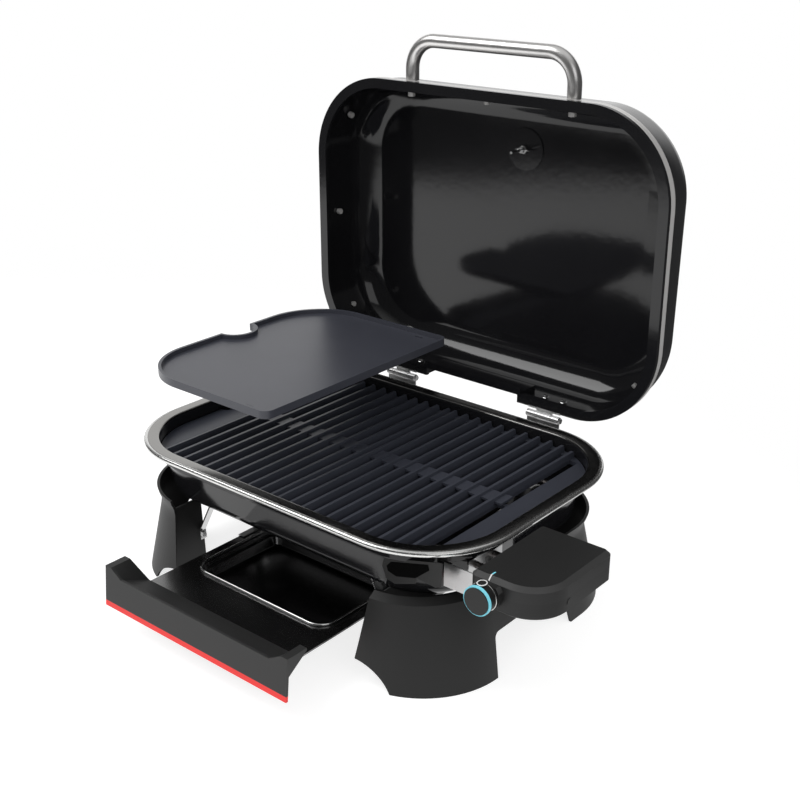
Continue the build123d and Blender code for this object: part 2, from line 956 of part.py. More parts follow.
# Thermometer: a case through the crown, with its dial outside and its probe inside
with BuildPart() as thermometer_case:
    with BuildSketch(lid_level(dome_height)):
        with thermo_place:
            Circle(dial_case / 2)
    extrude(amount=dial_depth)
    with BuildSketch(lid_level(dome_height + dial_floor)):
        with thermo_place:
            Circle(dial_case / 2 - dial_wall)
    extrude(amount=dial_depth, mode=Mode.SUBTRACT)
    with BuildSketch(lid_level(dome_height)):
        with thermo_place:
            Circle(stem / 2)
    extrude(amount=-dome_sheet - stem_length)
    with BuildSketch(lid_level(dome_height)):
        with thermo_place:
            Circle(probe / 2)
    extrude(amount=-dome_sheet - probe_length)
save(thermometer_case, "thermometer_case")

with BuildPart() as thermometer_dial:
    with BuildSketch(lid_level(dome_height + dial_floor)):
        with thermo_place:
            Circle(dial_case / 2 - dial_wall - seat_gap)
    extrude(amount=dial_sheet)
save(thermometer_dial, "thermometer_dial")

needle_level = dome_height + dial_floor + dial_sheet + needle_lift
with BuildPart() as thermometer_needle:
    with BuildSketch(lid_level(needle_level)):
        with thermo_place:
            Circle(needle_hub)
        with Locations((thermo_x, thermo_v + needle_length / 4)):
            Trapezoid(needle_width, needle_length, 88)
    extrude(amount=dial_sheet)
save(thermometer_needle, "thermometer_needle")

with BuildPart() as thermometer_lens:
    with BuildSketch(lid_level(dome_height + dial_depth - lens_sheet)):
        with thermo_place:
            Circle(dial_case / 2 - dial_wall)
    extrude(amount=lens_sheet)
save(thermometer_lens, "thermometer_lens")

with BuildPart() as thermometer_disc:
    with BuildSketch(lid_level(dome_skin - thermo_disc_sheet)):
        with thermo_place:
            Circle(thermo_disc / 2)
            Circle(stem / 2, mode=Mode.SUBTRACT)
    extrude(amount=thermo_disc_sheet)
save(thermometer_disc, "thermometer_disc")

nut_face = dome_skin - thermo_disc_sheet - wing_hub_height
with BuildPart() as thermometer_wing_nut:
    with BuildSketch(lid_level(nut_face)):
        with thermo_place:
            RegularPolygon(wing_hub / 2, 6)
            Circle(stem / 2, mode=Mode.SUBTRACT)
    extrude(amount=wing_hub_height)
    wing_plane = Plane(
        lid_level(nut_face + wing_hub_height / 2).from_local_coords((thermo_x, thermo_v, 0)),
        x_dir=hinge_plane.x_dir,
        z_dir=hinge_plane.y_dir,
    )
    for way in (-1, 1):
        with BuildSketch(wing_plane):
            with BuildLine():
                Polyline(
                    (way * (wing_hub / 2 - 1), wing_sheet),
                    (way * (wing_span / 2 - wing_sheet), wing_rise),
                    (way * wing_span / 2, wing_rise - wing_sheet),
                    (way * (wing_hub / 2 - 1), -wing_sheet),
                    close=True,
                )
            make_face()
        extrude(amount=wing_sheet / 2, both=True)
save(thermometer_wing_nut, "thermometer_wing_nut")

# Hinges: a lower leaf on the cook box, an upper leaf on the lid and a pin through both
leaf_mid = box_back - flange_width + box_sheet + hinge_sheet / 2
leaf_low = ledge_mid + leaf_drop
third = hinge_width / 4
leaf_line = (
    (leaf_mid, flange_mid - box_sheet),
    (leaf_mid, leaf_low),
    (hinge_y, leaf_low),
    (hinge_y, hinge_z - knuckle / 2),
)
with BuildPart() as hinge_lower_leaves:
    for x in (-hinge_x, hinge_x):
        with BuildSketch(side_plane(x - hinge_width / 2)):
            with BuildLine():
                Polyline(*sheet_outline(leaf_line, hinge_sheet), close=True)
            make_face()
        extrude(amount=hinge_width)
        for start in (x - hinge_width / 2, x + hinge_width / 2 - third):
            with BuildSketch(side_plane(start)):
                with Locations((hinge_y, hinge_z)):
                    Circle(knuckle / 2)
                with Locations((hinge_y, hinge_z - knuckle / 2)):
                    Rectangle(hinge_sheet, hinge_sheet)
                with Locations((hinge_y, hinge_z)):
                    Circle(pin / 2 + pin_gap, mode=Mode.SUBTRACT)
            extrude(amount=third)
    # Room for the middle knuckle of the upper leaf
    for x in (-hinge_x, hinge_x):
        with BuildSketch(side_plane(x - hinge_width / 2 + third)):
            with Locations((hinge_y, hinge_z)):
                Circle(knuckle / 2 + knuckle_gap)
        extrude(amount=hinge_width - 2 * third, mode=Mode.SUBTRACT)
save(hinge_lower_leaves, "hinge_lower_leaves")

leaf_mid_v = -lid_back_edge - dome_inset + hinge_sheet / 2
with BuildPart() as hinge_upper_leaves:
    for x in (-hinge_x, hinge_x):
        with BuildSketch(lid_side(x - hinge_width / 2)):
            with Locations((leaf_mid_v, frame_low + upper_leaf_height / 2)):
                Rectangle(hinge_sheet, upper_leaf_height)
        extrude(amount=hinge_width)
        with BuildSketch(lid_side(x - hinge_width / 2 + third + knuckle_gap)):
            Circle(knuckle / 2)
            with Locations((leaf_mid_v / 2, hinge_sheet)):
                Rectangle(-leaf_mid_v, hinge_sheet)
            Circle(pin / 2 + pin_gap, mode=Mode.SUBTRACT)
        extrude(amount=hinge_width - 2 * third - 2 * knuckle_gap)
save(hinge_upper_leaves, "hinge_upper_leaves")

with BuildPart() as hinge_pins:
    for x in (-hinge_x, hinge_x):
        with BuildSketch(side_plane(x - hinge_width / 2 - knuckle_gap)):
            with Locations((hinge_y, hinge_z)):
                Circle(pin / 2)
        extrude(amount=hinge_width + 2 * knuckle_gap)
        with BuildSketch(side_plane(x + hinge_width / 2 + knuckle_gap)):
            with Locations((hinge_y, hinge_z)):
                RegularPolygon(pin_head / 2, 6)
        extrude(amount=pin_head_height)
save(hinge_pins, "hinge_pins")

# Acorn nuts inside the dome and bolt heads outside it hold each upper leaf
nut_places = Locations(
    *[(x + way * nut_spacing / 2, 0) for x in (-hinge_x, hinge_x) for way in (-1, 1)]
)
nut_plane = Plane(
    hinge_plane.from_local_coords(
        (0, -lid_back_edge - dome_inset - dome_sheet, frame_low + nut_level)
    ),
    x_dir=hinge_plane.x_dir,
    z_dir=-hinge_plane.y_dir,
)
with BuildPart() as hinge_nuts:
    with BuildSketch(nut_plane):
        with nut_places:
            RegularPolygon(nut_across / 2, 6)
    extrude(amount=nut_height)
    with BuildSketch(nut_plane.offset(nut_height)):
        with nut_places:
            RegularPolygon(nut_across / 2 - nut_crown / 2, 6)
    extrude(amount=nut_crown, taper=20)
save(hinge_nuts, "hinge_nuts")

with BuildPart() as hinge_bolts:
    with BuildSketch(nut_plane.offset(-dome_sheet - hinge_sheet)):
        with nut_places:
            RegularPolygon(nut_across / 2, 6)
    extrude(amount=-pin_head_height)
save(hinge_bolts, "hinge_bolts")

# Drip tray plate: a flat sheet with an opening that the pan's rim covers
pan_hole_length = pan_length - 2 * (pan_rim - 1)
pan_hole_width = pan_width - 2 * (pan_rim - 1)
with BuildPart() as tray_plate:
    with BuildSketch(Plane.XY.offset(tray_top - tray_sheet)):
        with Locations((0, (tray_front + tray_back) / 2)):
            Rectangle(2 * tray_half, tray_back - tray_front)
        with Locations((0, pan_middle)):
            RectangleRounded(
                pan_hole_length, pan_hole_width, pan_corner - pan_rim + 1, mode=Mode.SUBTRACT
            )
    extrude(amount=tray_sheet)
save(tray_plate, "tray_plate")

# Tray fascia: a leaning front wall, a scooped top and two raised ends
face_lean = (fascia_face_bottom - fascia_face_top) / (fascia_wing_top - stripe_low)
face_low_y = fascia_face_top + face_lean * (fascia_wing_top - fascia_low)
scoop = (
    (fascia_face_top - fascia_wall / 6, scoop_front),
    (scoop_back, tray_top + fascia_wall),
    (scoop_back, tray_top),
    (fascia_face_top + fascia_wall / 6, scoop_front - fascia_wall),
)
wing = (
    (fascia_face_top, fascia_wing_top),
    (fascia_wing_back, fascia_wing_top),
    (fascia_wing_back, fascia_wing_top - fascia_wall),
    (fascia_face_top, fascia_wing_top - fascia_wall),
)
with BuildPart() as tray_fascia:
    with BuildSketch(side_plane(-fascia_half)):
        with BuildLine():
            Polyline(
                (fascia_face_top, fascia_wing_top),
                (fascia_face_top + fascia_wall, fascia_wing_top),
                (face_low_y + fascia_wall, fascia_low),
                (face_low_y, fascia_low),
                close=True,
            )
        make_face()
    extrude(amount=2 * fascia_half)
    with BuildSketch(front_plane(fascia_face_bottom - cut_over)):
        with BuildLine():
            Polyline(
                (-wing_inner, fascia_wing_top + cut_over),
                (-wing_inner, fascia_wing_top),
                (-scoop_half, scoop_front),
                (scoop_half, scoop_front),
                (wing_inner, fascia_wing_top),
                (wing_inner, fascia_wing_top + cut_over),
                close=True,
            )
        make_face()
    extrude(amount=scoop_back - fascia_face_bottom, dir=(0, 1, 0), mode=Mode.SUBTRACT)
    with BuildSketch(side_plane(-scoop_half)):
        with BuildLine():
            Polyline(*scoop, close=True)
        make_face()
    extrude(amount=2 * scoop_half)
    for sign in (-1, 1):
        with BuildSketch(side_plane(sign * scoop_half)):
            with BuildLine():
                Polyline(*scoop, close=True)
            make_face()
        with BuildSketch(side_plane(sign * wing_inner)):
            with BuildLine():
                Polyline(*wing, close=True)
            make_face()
        loft(ruled=True)
        with BuildSketch(side_plane(sign * wing_inner)):
            with BuildLine():
                Polyline(*wing, close=True)
            make_face()
        extrude(amount=sign * (fascia_half - wing_inner))
        # End gusset
        with BuildSketch(side_plane(sign * (fascia_half - fascia_wall))):
            with BuildLine():
                Polyline(
                    (fascia_face_top, fascia_wing_top - fascia_wall / 3),
                    (fascia_wing_back, fascia_wing_top - fascia_wall / 3),
                    (fascia_wing_back, fascia_wing_top - fascia_wall),
                    (fascia_face_top, tray_top + gusset_foot),
                    close=True,
                )
            make_face()
        extrude(amount=sign * fascia_wall)
save(tray_fascia, "tray_fascia")

with BuildPart() as fascia_stripe:
    with BuildSketch(side_plane(-fascia_half)):
        with BuildLine():
            Polyline(
                (face_low_y, fascia_low),
                (face_low_y + fascia_wall, fascia_low),
                (fascia_face_bottom + fascia_wall, stripe_low),
                (fascia_face_bottom, stripe_low),
                close=True,
            )
        make_face()
    extrude(amount=2 * fascia_half)
save(fascia_stripe, "fascia_stripe")

with BuildPart() as fascia_screws:
    with BuildSketch(Plane.XY.offset(tray_top - tray_sheet)):
        with Locations((0, scoop_back - screw_head)):
            with GridLocations(scoop_half, 0, 3, 1):
                RegularPolygon(screw_head / 2, 6)
    extrude(amount=-screw_head_height)
save(fascia_screws, "fascia_screws")

# Drip pan: a pressed pan with a rolled rim, seated in the tray plate
pan_place = Plane((0, pan_middle, tray_top + seat_gap))
pan_line = (
    (pan_roll, pan_sheet / 2),
    (pan_rim, pan_sheet / 2),
    (pan_rim + pan_draft, pan_sheet / 2 - pan_depth),
    (pan_rim + pan_draft + pan_floor_lap, pan_sheet / 2 - pan_depth),
)
pan_floor_inset = pan_rim + pan_draft + pan_floor_lap / 2
with BuildPart() as drip_pan:
    with BuildSketch(across(pan_place, pan_width)):
        with BuildLine():
            Polyline(*sheet_outline(pan_line, pan_sheet), close=True)
        make_face()
        with Locations((pan_roll / 2, pan_roll / 2)):
            Rectangle(pan_roll, pan_roll)
    sweep(path=rounded_path(pan_place, pan_length, pan_width, pan_corner))
    with BuildSketch(pan_place.offset(-pan_depth)):
        RectangleRounded(
            pan_length - 2 * pan_floor_inset,
            pan_width - 2 * pan_floor_inset,
            pan_corner - pan_floor_inset,
        )
    extrude(amount=pan_sheet)
save(drip_pan, "drip_pan")


def rail(sign):
    """A channel that the tray plate slides in, with two hangers up to the cook box."""
    web = sign * (tray_half + slide_gap)
    low = tray_top - tray_sheet - slide_gap
    high = tray_top + slide_gap
    foot = floor_height - box_sheet / 2
    with BuildPart() as channel:
        with BuildSketch(side_plane(web)):
            with Locations(((rail_front + rail_back) / 2, (low + high) / 2)):
                Rectangle(rail_back - rail_front, high - low + 2 * rail_sheet)
            for y in (hanger_front, hanger_back):
                with Locations((y, (high + foot) / 2)):
                    Rectangle(hanger_width, foot - high)
        extrude(amount=sign * rail_sheet)
        for level in (low - rail_sheet, high):
            with BuildSketch(Plane.XY.offset(level)):
                with Locations((web - sign * rail_lip / 2, (rail_front + rail_back) / 2)):
                    Rectangle(rail_lip, rail_back - rail_front)
            extrude(amount=rail_sheet)
        # Each hanger has a foot under the cook box
        with BuildSketch(Plane.XY.offset(foot - rail_sheet)):
            for y in (hanger_front, hanger_back):
                with Locations((web + sign * (rail_sheet - hanger_foot / 2), y)):
                    Rectangle(hanger_foot, hanger_width)
        extrude(amount=rail_sheet)
    return channel


left_rail = rail(-1)
save(left_rail, "left_rail")
right_rail = rail(1)
save(right_rail, "right_rail")

# Control box: two housing halves that meet at the parting line


def control_outline(inset, small):
    """The control box in plan, drawn in by an inset, with one large outer corner."""
    with BuildSketch() as outline:
        with BuildLine():
            FilletPolyline(
                (control_left + inset, control_front + inset),
                (control_right - inset, control_front + inset),
                (control_right - inset, control_back - inset),
                (control_left + inset, control_back - inset),
                radius=(small, control_corner - inset, small, small),
                close=True,
            )
        make_face()
    return outline.sketch


def knob_boss_slice(low, high):
    """The part of the knob's boss between two heights."""
    with BuildPart(mode=Mode.PRIVATE) as boss:
        with BuildSketch(front_plane(control_front)):
            with Locations((knob_x, knob_z)):
                Circle(knob_boss / 2)
            with Locations((knob_x, (low + high) / 2)):
                Rectangle(2 * knob_boss, high - low, mode=Mode.INTERSECT)
        extrude(amount=boss_depth)
    return boss.part


knob_x = control_left + knob_from_left
knob_front = control_front - knob_reach
gland_z = (control_bottom + control_parting) / 2
gland_x = control_right - gland_from_right
with BuildPart(mode=Mode.PRIVATE) as shaft_hole:
    with BuildSketch(front_plane(control_front + control_wall_high + pin_gap)):
        with Locations((knob_x, knob_z)):
            Circle(shaft / 2 + shaft_gap)
    extrude(amount=boss_depth + control_wall_high + 2 * pin_gap)
with BuildPart() as control_lower:
    with BuildSketch(Plane.XY.offset(control_bottom)):
        add(control_outline(0, control_small))
    extrude(amount=control_parting - control_bottom)
    chamfer(control_lower.faces().sort_by(Axis.Z)[0].edges(), control_low_bevel)
    with BuildSketch(Plane.XY.offset(control_bottom + control_wall)):
        add(control_outline(control_wall, 0))
    extrude(amount=control_parting, mode=Mode.SUBTRACT)
    # The way in for the element's ends
    with BuildSketch(side_plane(control_left - pin_gap)):
        with Locations((terminal_front, element_height), (terminal_back, element_height)):
            Circle(element_tube / 2 + seat_gap)
    extrude(amount=control_wall + 2 * pin_gap, mode=Mode.SUBTRACT)
    add(knob_boss_slice(control_bottom + control_low_bevel, control_parting))
    add(shaft_hole.part, mode=Mode.SUBTRACT)
    with BuildSketch(front_plane(control_back + pin_gap)):
        with Locations((gland_x, gland_z)):
            Circle(gland_neck + pin_gap)
    extrude(amount=control_wall + 2 * pin_gap, mode=Mode.SUBTRACT)
save(control_lower, "control_lower")

control_ceiling = control_top - control_wall - control_bevel / 2
with BuildPart() as control_upper:
    with BuildSketch(Plane.XY.offset(control_parting)):
        add(control_outline(0, control_small))
    extrude(amount=control_top - control_parting)
    chamfer(control_upper.faces().sort_by(Axis.Z)[-1].edges(), control_bevel)
    with BuildSketch(Plane.XY.offset(control_parting)):
        add(control_outline(control_wall_high, 0))
    extrude(amount=control_ceiling - control_parting, mode=Mode.SUBTRACT)
    add(knob_boss_slice(control_parting, control_top - control_bevel))
    add(shaft_hole.part, mode=Mode.SUBTRACT)
save(control_upper, "control_upper")

# Round plug in the right face and the mark above the knob
with BuildPart() as side_plug:
    with BuildSketch(side_plane(control_right)):
        with Locations((control_front + plug_setback, plug_z)):
            Circle(plug / 2)
    extrude(amount=plug_proud)
save(side_plug, "side_plug")

mark_lift = mark_sheet / 2 * sqrt(2)
mark_line = (
    (control_front + mark_lift, control_top - control_bevel + 2 * mark_lift),
    (control_front + control_bevel + mark_sheet / 2 - mark_lift, control_top + mark_sheet / 2),
    (control_front + mark_length, control_top + mark_sheet / 2),
)
with BuildPart() as index_mark:
    with BuildSketch(side_plane(control_left + mark_from_left - mark_width / 2)):
        with BuildLine():
            Polyline(*sheet_outline(mark_line, mark_sheet), close=True)
        make_face()
    extrude(amount=mark_width)
save(index_mark, "index_mark")

with BuildPart() as housing_screws:
    with BuildSketch(Plane.XY.offset(control_bottom)):
        with Locations(
            (control_left + 2 * control_small, control_front + 2 * control_small),
            (control_left + 2 * control_small, control_back - 2 * control_small),
            (control_right - 2 * control_small, control_back - 2 * control_small),
        ):
            RegularPolygon(screw_head / 2, 6)
    extrude(amount=-screw_head_height)
save(housing_screws, "housing_screws")

# Thermostat behind the knob, with a bore for the knob's shaft
thermostat_front = control_front + control_wall_high
with BuildPart() as thermostat:
    with BuildSketch(front_plane(thermostat_front)):
        with Locations((knob_x, knob_z)):
            Rectangle(thermostat_width, thermostat_height)
    extrude(amount=-thermostat_depth)
    with BuildSketch(front_plane(thermostat_front)):
        with Locations((knob_x, knob_z)):
            Circle(shaft / 2 + shaft_gap)
    extrude(amount=-shaft_inside, mode=Mode.SUBTRACT)
save(thermostat, "thermostat")

# Terminal block at the element's two ends
with BuildPart() as terminal_block:
    with BuildSketch(side_plane(element_end)):
        with Locations(((terminal_front + terminal_back) / 2, element_height)):
            Rectangle(block_length, block_height)
    extrude(amount=block_depth)
save(terminal_block, "terminal_block")

# Knob: a body with its shaft and pointer, a coloured ring and a cap over the ring
knob_back = control_front - boss_depth - knob_gap
ring_back = knob_front + ring_cap + ring_depth
with BuildPart() as knob:
    with BuildSketch(front_plane(knob_back)):
        with Locations((knob_x, knob_z)):
            Circle(knob_diameter / 2)
    extrude(amount=knob_back - ring_back)
    with BuildSketch(front_plane(knob_back)):
        with Locations((knob_x, knob_z)):
            Circle(shaft / 2)
    extrude(amount=-(boss_depth + knob_gap + control_wall_high + shaft_inside / 2))
    with BuildSketch(Plane.XY.offset(knob_z)):
        with Locations((knob_x, (knob_back + ring_back) / 2)):
            SlotOverall(knob_back - ring_back - 2 * knob_gap, lug_width, rotation=90)
    extrude(amount=knob_diameter / 2 + lug_rise)
save(knob, "knob")

with BuildPart() as knob_ring:
    with BuildSketch(front_plane(ring_back)):
        with Locations((knob_x, knob_z)):
            Circle(knob_diameter / 2 + ring_over)
    extrude(amount=ring_depth)
save(knob_ring, "knob_ring")

with BuildPart() as knob_cap:
    with BuildSketch(front_plane(ring_back - ring_depth)):
        with Locations((knob_x, knob_z)):
            Circle(knob_diameter / 2 - ring_over)
    extrude(amount=ring_cap)
save(knob_cap, "knob_cap")

# Steel shield between the cook box and the control box
shield_y = control_front + shield_setback
shield_left = control_left - shield_length
with BuildPart() as steel_shield:
    with BuildSketch(front_plane(shield_y)):
        with Locations(((shield_left + control_left) / 2, (shield_bottom + shield_top) / 2)):
            Rectangle(control_left - shield_left, shield_top - shield_bottom)
    extrude(amount=-shield_sheet)
save(steel_shield, "steel_shield")

# Corner bracket: a plate from the cook box's rounded wall to the shield, with a thick post
corner_back = shield_y + shield_sheet + corner_sheet
corner_deep = -corner_back - (box_back - rim_corner)


def wall_edge(inset):
    """The x of the cook box's outer wall, for an inset, at the bracket's back face."""
    return box_right - rim_corner + sqrt((rim_corner - inset) ** 2 - corner_deep**2)


step_edge = wall_edge(flange_width - box_sheet) + seat_gap
high_edge = wall_edge(wall_inset(ledge_mid) - box_sheet) + seat_gap
low_edge = wall_edge(wall_inset(corner_low) - box_sheet) + seat_gap
with BuildPart() as corner_bracket:
    with BuildSketch(front_plane(shield_y + shield_sheet)):
        with BuildLine():
            Polyline(
                (shield_left + corner_post, shield_top),
                (shield_left + corner_post, shield_bottom),
                (shield_left - corner_post, corner_low),
                (low_edge, corner_low),
                (high_edge, corner_high),
                (step_edge, corner_high),
                (step_edge, shield_top),
                close=True,
            )
        make_face()
    extrude(amount=-corner_sheet)
    with BuildSketch(front_plane(shield_y + shield_sheet)):
        with Locations((shield_left - corner_post / 2, (shield_bottom + shield_top) / 2)):
            Rectangle(corner_post, shield_top - shield_bottom)
    extrude(amount=shield_sheet)
save(corner_bracket, "corner_bracket")

# Arm that carries the control box on the cook box's wall
arm_back = control_back - arm_setback
arm_front = arm_back - arm_width
arm_line = (
    (box_right - wall_inset(arm_low + arm_sheet) + box_sheet, arm_low + arm_sheet / 2),
    (control_left - arm_sheet / 2, arm_low + arm_sheet / 2),
    (control_left - arm_sheet / 2, control_parting),
)
with BuildPart() as control_arm:
    with BuildSketch(front_plane(arm_back)):
        with BuildLine():
            Polyline(*sheet_outline(arm_line, arm_sheet), close=True)
        make_face()
    extrude(amount=arm_back - arm_front)
save(control_arm, "control_arm")

# Gland in the control box's back wall, where its lead would leave
with BuildPart() as cord_gland:
    with BuildSketch(front_plane(control_back + gland_sheet)):
        with Locations((gland_x, gland_z)):
            RegularPolygon(gland_flange, 6)
    extrude(amount=gland_sheet)
    with BuildSketch(front_plane(control_back)):
        with Locations((gland_x, gland_z)):
            Circle(gland_neck)
    extrude(amount=control_wall + gland_sheet)
save(cord_gland, "cord_gland")
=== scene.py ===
import json
import math

import bmesh
import bpy
import numpy as np
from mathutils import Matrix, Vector


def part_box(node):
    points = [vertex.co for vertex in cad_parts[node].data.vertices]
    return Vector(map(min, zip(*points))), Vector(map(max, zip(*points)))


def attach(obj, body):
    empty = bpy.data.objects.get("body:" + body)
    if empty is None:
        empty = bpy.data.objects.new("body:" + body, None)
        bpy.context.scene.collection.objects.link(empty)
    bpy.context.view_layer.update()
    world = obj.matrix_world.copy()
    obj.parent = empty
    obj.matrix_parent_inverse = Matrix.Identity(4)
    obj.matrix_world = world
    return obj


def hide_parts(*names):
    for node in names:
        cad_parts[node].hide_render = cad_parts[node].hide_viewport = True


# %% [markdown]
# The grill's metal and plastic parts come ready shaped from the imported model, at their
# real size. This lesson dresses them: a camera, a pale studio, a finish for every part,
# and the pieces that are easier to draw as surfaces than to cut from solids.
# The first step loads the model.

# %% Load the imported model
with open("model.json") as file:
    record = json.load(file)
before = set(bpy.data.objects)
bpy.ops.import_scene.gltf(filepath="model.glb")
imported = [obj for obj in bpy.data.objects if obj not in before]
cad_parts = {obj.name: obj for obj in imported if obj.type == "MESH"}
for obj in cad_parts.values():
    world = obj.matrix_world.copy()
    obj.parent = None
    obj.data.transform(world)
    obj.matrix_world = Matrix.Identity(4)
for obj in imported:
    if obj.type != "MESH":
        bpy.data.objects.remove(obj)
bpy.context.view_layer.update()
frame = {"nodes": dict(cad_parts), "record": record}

mm = 0.001
nodes = frame["nodes"]

# %% [markdown]
# The camera stands to the right of the front and looks down a little. Its place was
# worked out from the photograph: the rim of the cook box, the lid's outline and the
# tray's edges all fall where they should only from this point and with this lens.

# %% Camera
camera_place = (0.9451, -1.0627, 0.8272)
camera_azimuth = math.radians(40.03)
camera_elevation = math.radians(22.39)
lens = 55.48
sensor = 36.0
nearest, farthest = 0.05, 50

camera_data = bpy.data.cameras.new("camera")
camera_data.lens = lens
camera_data.sensor_width = sensor
camera_data.clip_start = nearest
camera_data.clip_end = farthest
camera = bpy.data.objects.new("camera", camera_data)
bpy.context.scene.collection.objects.link(camera)
towards_camera = Vector((
    math.sin(camera_azimuth) * math.cos(camera_elevation),
    -math.cos(camera_azimuth) * math.cos(camera_elevation),
    math.sin(camera_elevation),
))
camera.location = camera_place
camera.rotation_mode = "QUATERNION"
camera.rotation_quaternion = (-towards_camera).to_track_quat("-Z", "Y")
bpy.context.scene.camera = camera
print("camera looks along", tuple(round(-v, 3) for v in towards_camera))

# %% [markdown]
# Shader maths reads best as plain arithmetic. The Wire class below wraps one socket of a
# node tree, so that two wires can be added or multiplied and each sign makes the Math
# node that it stands for. A NodeMaker makes every other kind of node through a single
# method, and a Finish is a NodeMaker that holds one material. Colours are mixed with Mix
# nodes, because Math turns them grey.

# %% A socket that does sums
def plug(tree, socket, value):
    """Link a wire to a socket, or give the socket a plain value."""
    if isinstance(value, Wire):
        tree.links.new(value.socket, socket)
    else:
        socket.default_value = value


class Wire:
    """One output socket. Arithmetic on it adds Math nodes to its tree."""

    def __init__(self, tree, socket):
        self.tree = tree
        self.socket = socket

    def sum_with(self, operation, first, second, clamp=False):
        """Add a Math node that works on two wires or numbers."""
        node = self.tree.nodes.new("ShaderNodeMath")
        node.operation = operation
        node.use_clamp = clamp
        plug(self.tree, node.inputs[0], first)
        plug(self.tree, node.inputs[1], second)
        return Wire(self.tree, node.outputs[0])

    def __add__(self, other):
        return self.sum_with("ADD", self, other)

    def __radd__(self, other):
        return self.sum_with("ADD", other, self)

    def __sub__(self, other):
        return self.sum_with("SUBTRACT", self, other)

    def __rsub__(self, other):
        return self.sum_with("SUBTRACT", other, self)

    def __mul__(self, other):
        return self.sum_with("MULTIPLY", self, other)

    def __rmul__(self, other):
        return self.sum_with("MULTIPLY", other, self)

    def __gt__(self, other):
        return self.sum_with("GREATER_THAN", self, other)

    def __lt__(self, other):
        return self.sum_with("LESS_THAN", self, other)

    def clamped(self):
        """The same value, kept between 0 and 1."""
        return self.sum_with("ADD", self, 0.0, clamp=True)


# %% Any other node
class NodeMaker:
    """A node tree and the method that makes its nodes."""

    def __init__(self, tree):
        self.tree = tree

    def node(self, kind, settings=None, values=None, output=0):
        """Make a node: first its settings, then the values or links of its sockets."""
        node = self.tree.nodes.new(kind)
        for key, value in (settings or {}).items():
            setattr(node, key, value)
        for key, value in (values or {}).items():
            plug(self.tree, node.inputs[key], value)
        return Wire(self.tree, node.outputs[output])

    def smooth_step(self, value, low, high):
        """A value that climbs smoothly from 0 at low to 1 at high."""
        return self.node(
            "ShaderNodeMapRange",
            settings={"interpolation_type": "SMOOTHSTEP"},
            values={0: value, 1: low, 2: high, 3: 0.0, 4: 1.0},
        )

    def part_of(self, vector, index):
        """One number of a vector: 0 for X, 1 for Y and 2 for Z."""
        return self.node("ShaderNodeSeparateXYZ", values={0: vector}, output=index)


# %% A finish
class Finish(NodeMaker):
    """A material with one Principled shader, and the nodes that the finishes share."""

    def __init__(self, name):
        self.material = bpy.data.materials.new(name)
        self.material.use_nodes = True
        super().__init__(self.material.node_tree)
        self.shader = self.tree.nodes["Principled BSDF"]

    def point(self):
        """The place of the shaded point on its own object, in metres."""
        return self.node("ShaderNodeTexCoord", output="Object")

    def stretched(self, scale):
        """The shaded point with each axis scaled, for grain that runs one way."""
        return self.node(
            "ShaderNodeMapping", values={"Vector": self.point(), "Scale": scale}
        )

    def noise(self, size, detail=3.0, place=None, roughness=0.5):
        """Cloudy noise whose features are about the given size, in metres."""
        return self.node(
            "ShaderNodeTexNoise",
            values={
                "Vector": place or self.point(),
                "Scale": 1 / size,
                "Detail": detail,
                "Roughness": roughness,
            },
        )

    def between(self, amount, low, high):
        """A colour that goes from low to high as the amount goes from 0 to 1."""
        first, last = (end if isinstance(end, Wire) else (*end, 1) for end in (low, high))
        return self.node(
            "ShaderNodeMix",
            settings={"data_type": "RGBA"},
            values={0: amount, 6: first, 7: last},
            output=2,
        )

    def bump(self, height, depth, strength=1.0):
        """A Bump node's normal for a height from 0 to 1 and a depth in metres."""
        return self.node(
            "ShaderNodeBump",
            values={"Height": height, "Distance": depth, "Strength": strength},
        )

    def set(self, **values):
        """Set or link sockets of the shader. An underscore stands for a space."""
        for key, value in values.items():
            plug(self.tree, self.shader.inputs[key.replace("_", " ")], value)


# %% [markdown]
# The studio is a white room. The camera sees a pure white world, and so do mirror rays
# that look to the back on the left, because polished steel and black enamel take their
# whole look from what they mirror. Elsewhere the room is dim, as it is behind a
# camera, so that the lid's black inside stays black.

# %% Where the room is bright
world = bpy.data.worlds.new("studio")
bpy.context.scene.world = world
world.use_nodes = True
sky = NodeMaker(world.node_tree)
sky.tree.nodes.clear()
room_light = 0.75
front_glow = 0.06
back_glow = 1.0
top_glow = 0.6
turn_to_left = 0.9
# Where each smooth edge of the bright places starts and ends
back_edge = (0.85, 1.15)
foot_edge = (-0.12, 0.02)
head_edge = (0.50, 0.66)
ceiling_edge = (0.60, 0.95)

direction = sky.node("ShaderNodeTexCoord", output="Generated")
sideways, ahead, upward = (sky.part_of(direction, axis) for axis in range(3))
behind = sky.smooth_step(ahead - sideways * turn_to_left, *back_edge)
behind = behind * sky.smooth_step(upward, *foot_edge)
behind = behind * (1 - sky.smooth_step(upward, *head_edge))
overhead = sky.smooth_step(upward, *ceiling_edge)
glow = front_glow + behind * (back_glow - front_glow)
glow = glow + overhead * (1 - behind) * (top_glow - front_glow)
print("mirror rays see from", front_glow, "to", back_glow)

# %% World
seen = sky.node("ShaderNodeLightPath", output="Is Camera Ray")
mirrored = sky.node("ShaderNodeLightPath", output="Is Glossy Ray")
through = sky.node("ShaderNodeLightPath", output="Is Transmission Ray")
clear_view = (seen + through).clamped()
strength = clear_view + (1 - clear_view) * (mirrored * glow + (1 - mirrored) * room_light)
lit = sky.node("ShaderNodeBackground", values={"Color": (1, 1, 1, 1), "Strength": strength})
out = sky.tree.nodes.new("ShaderNodeOutputWorld")
sky.tree.links.new(lit.socket, out.inputs["Surface"])
print("room light", room_light)

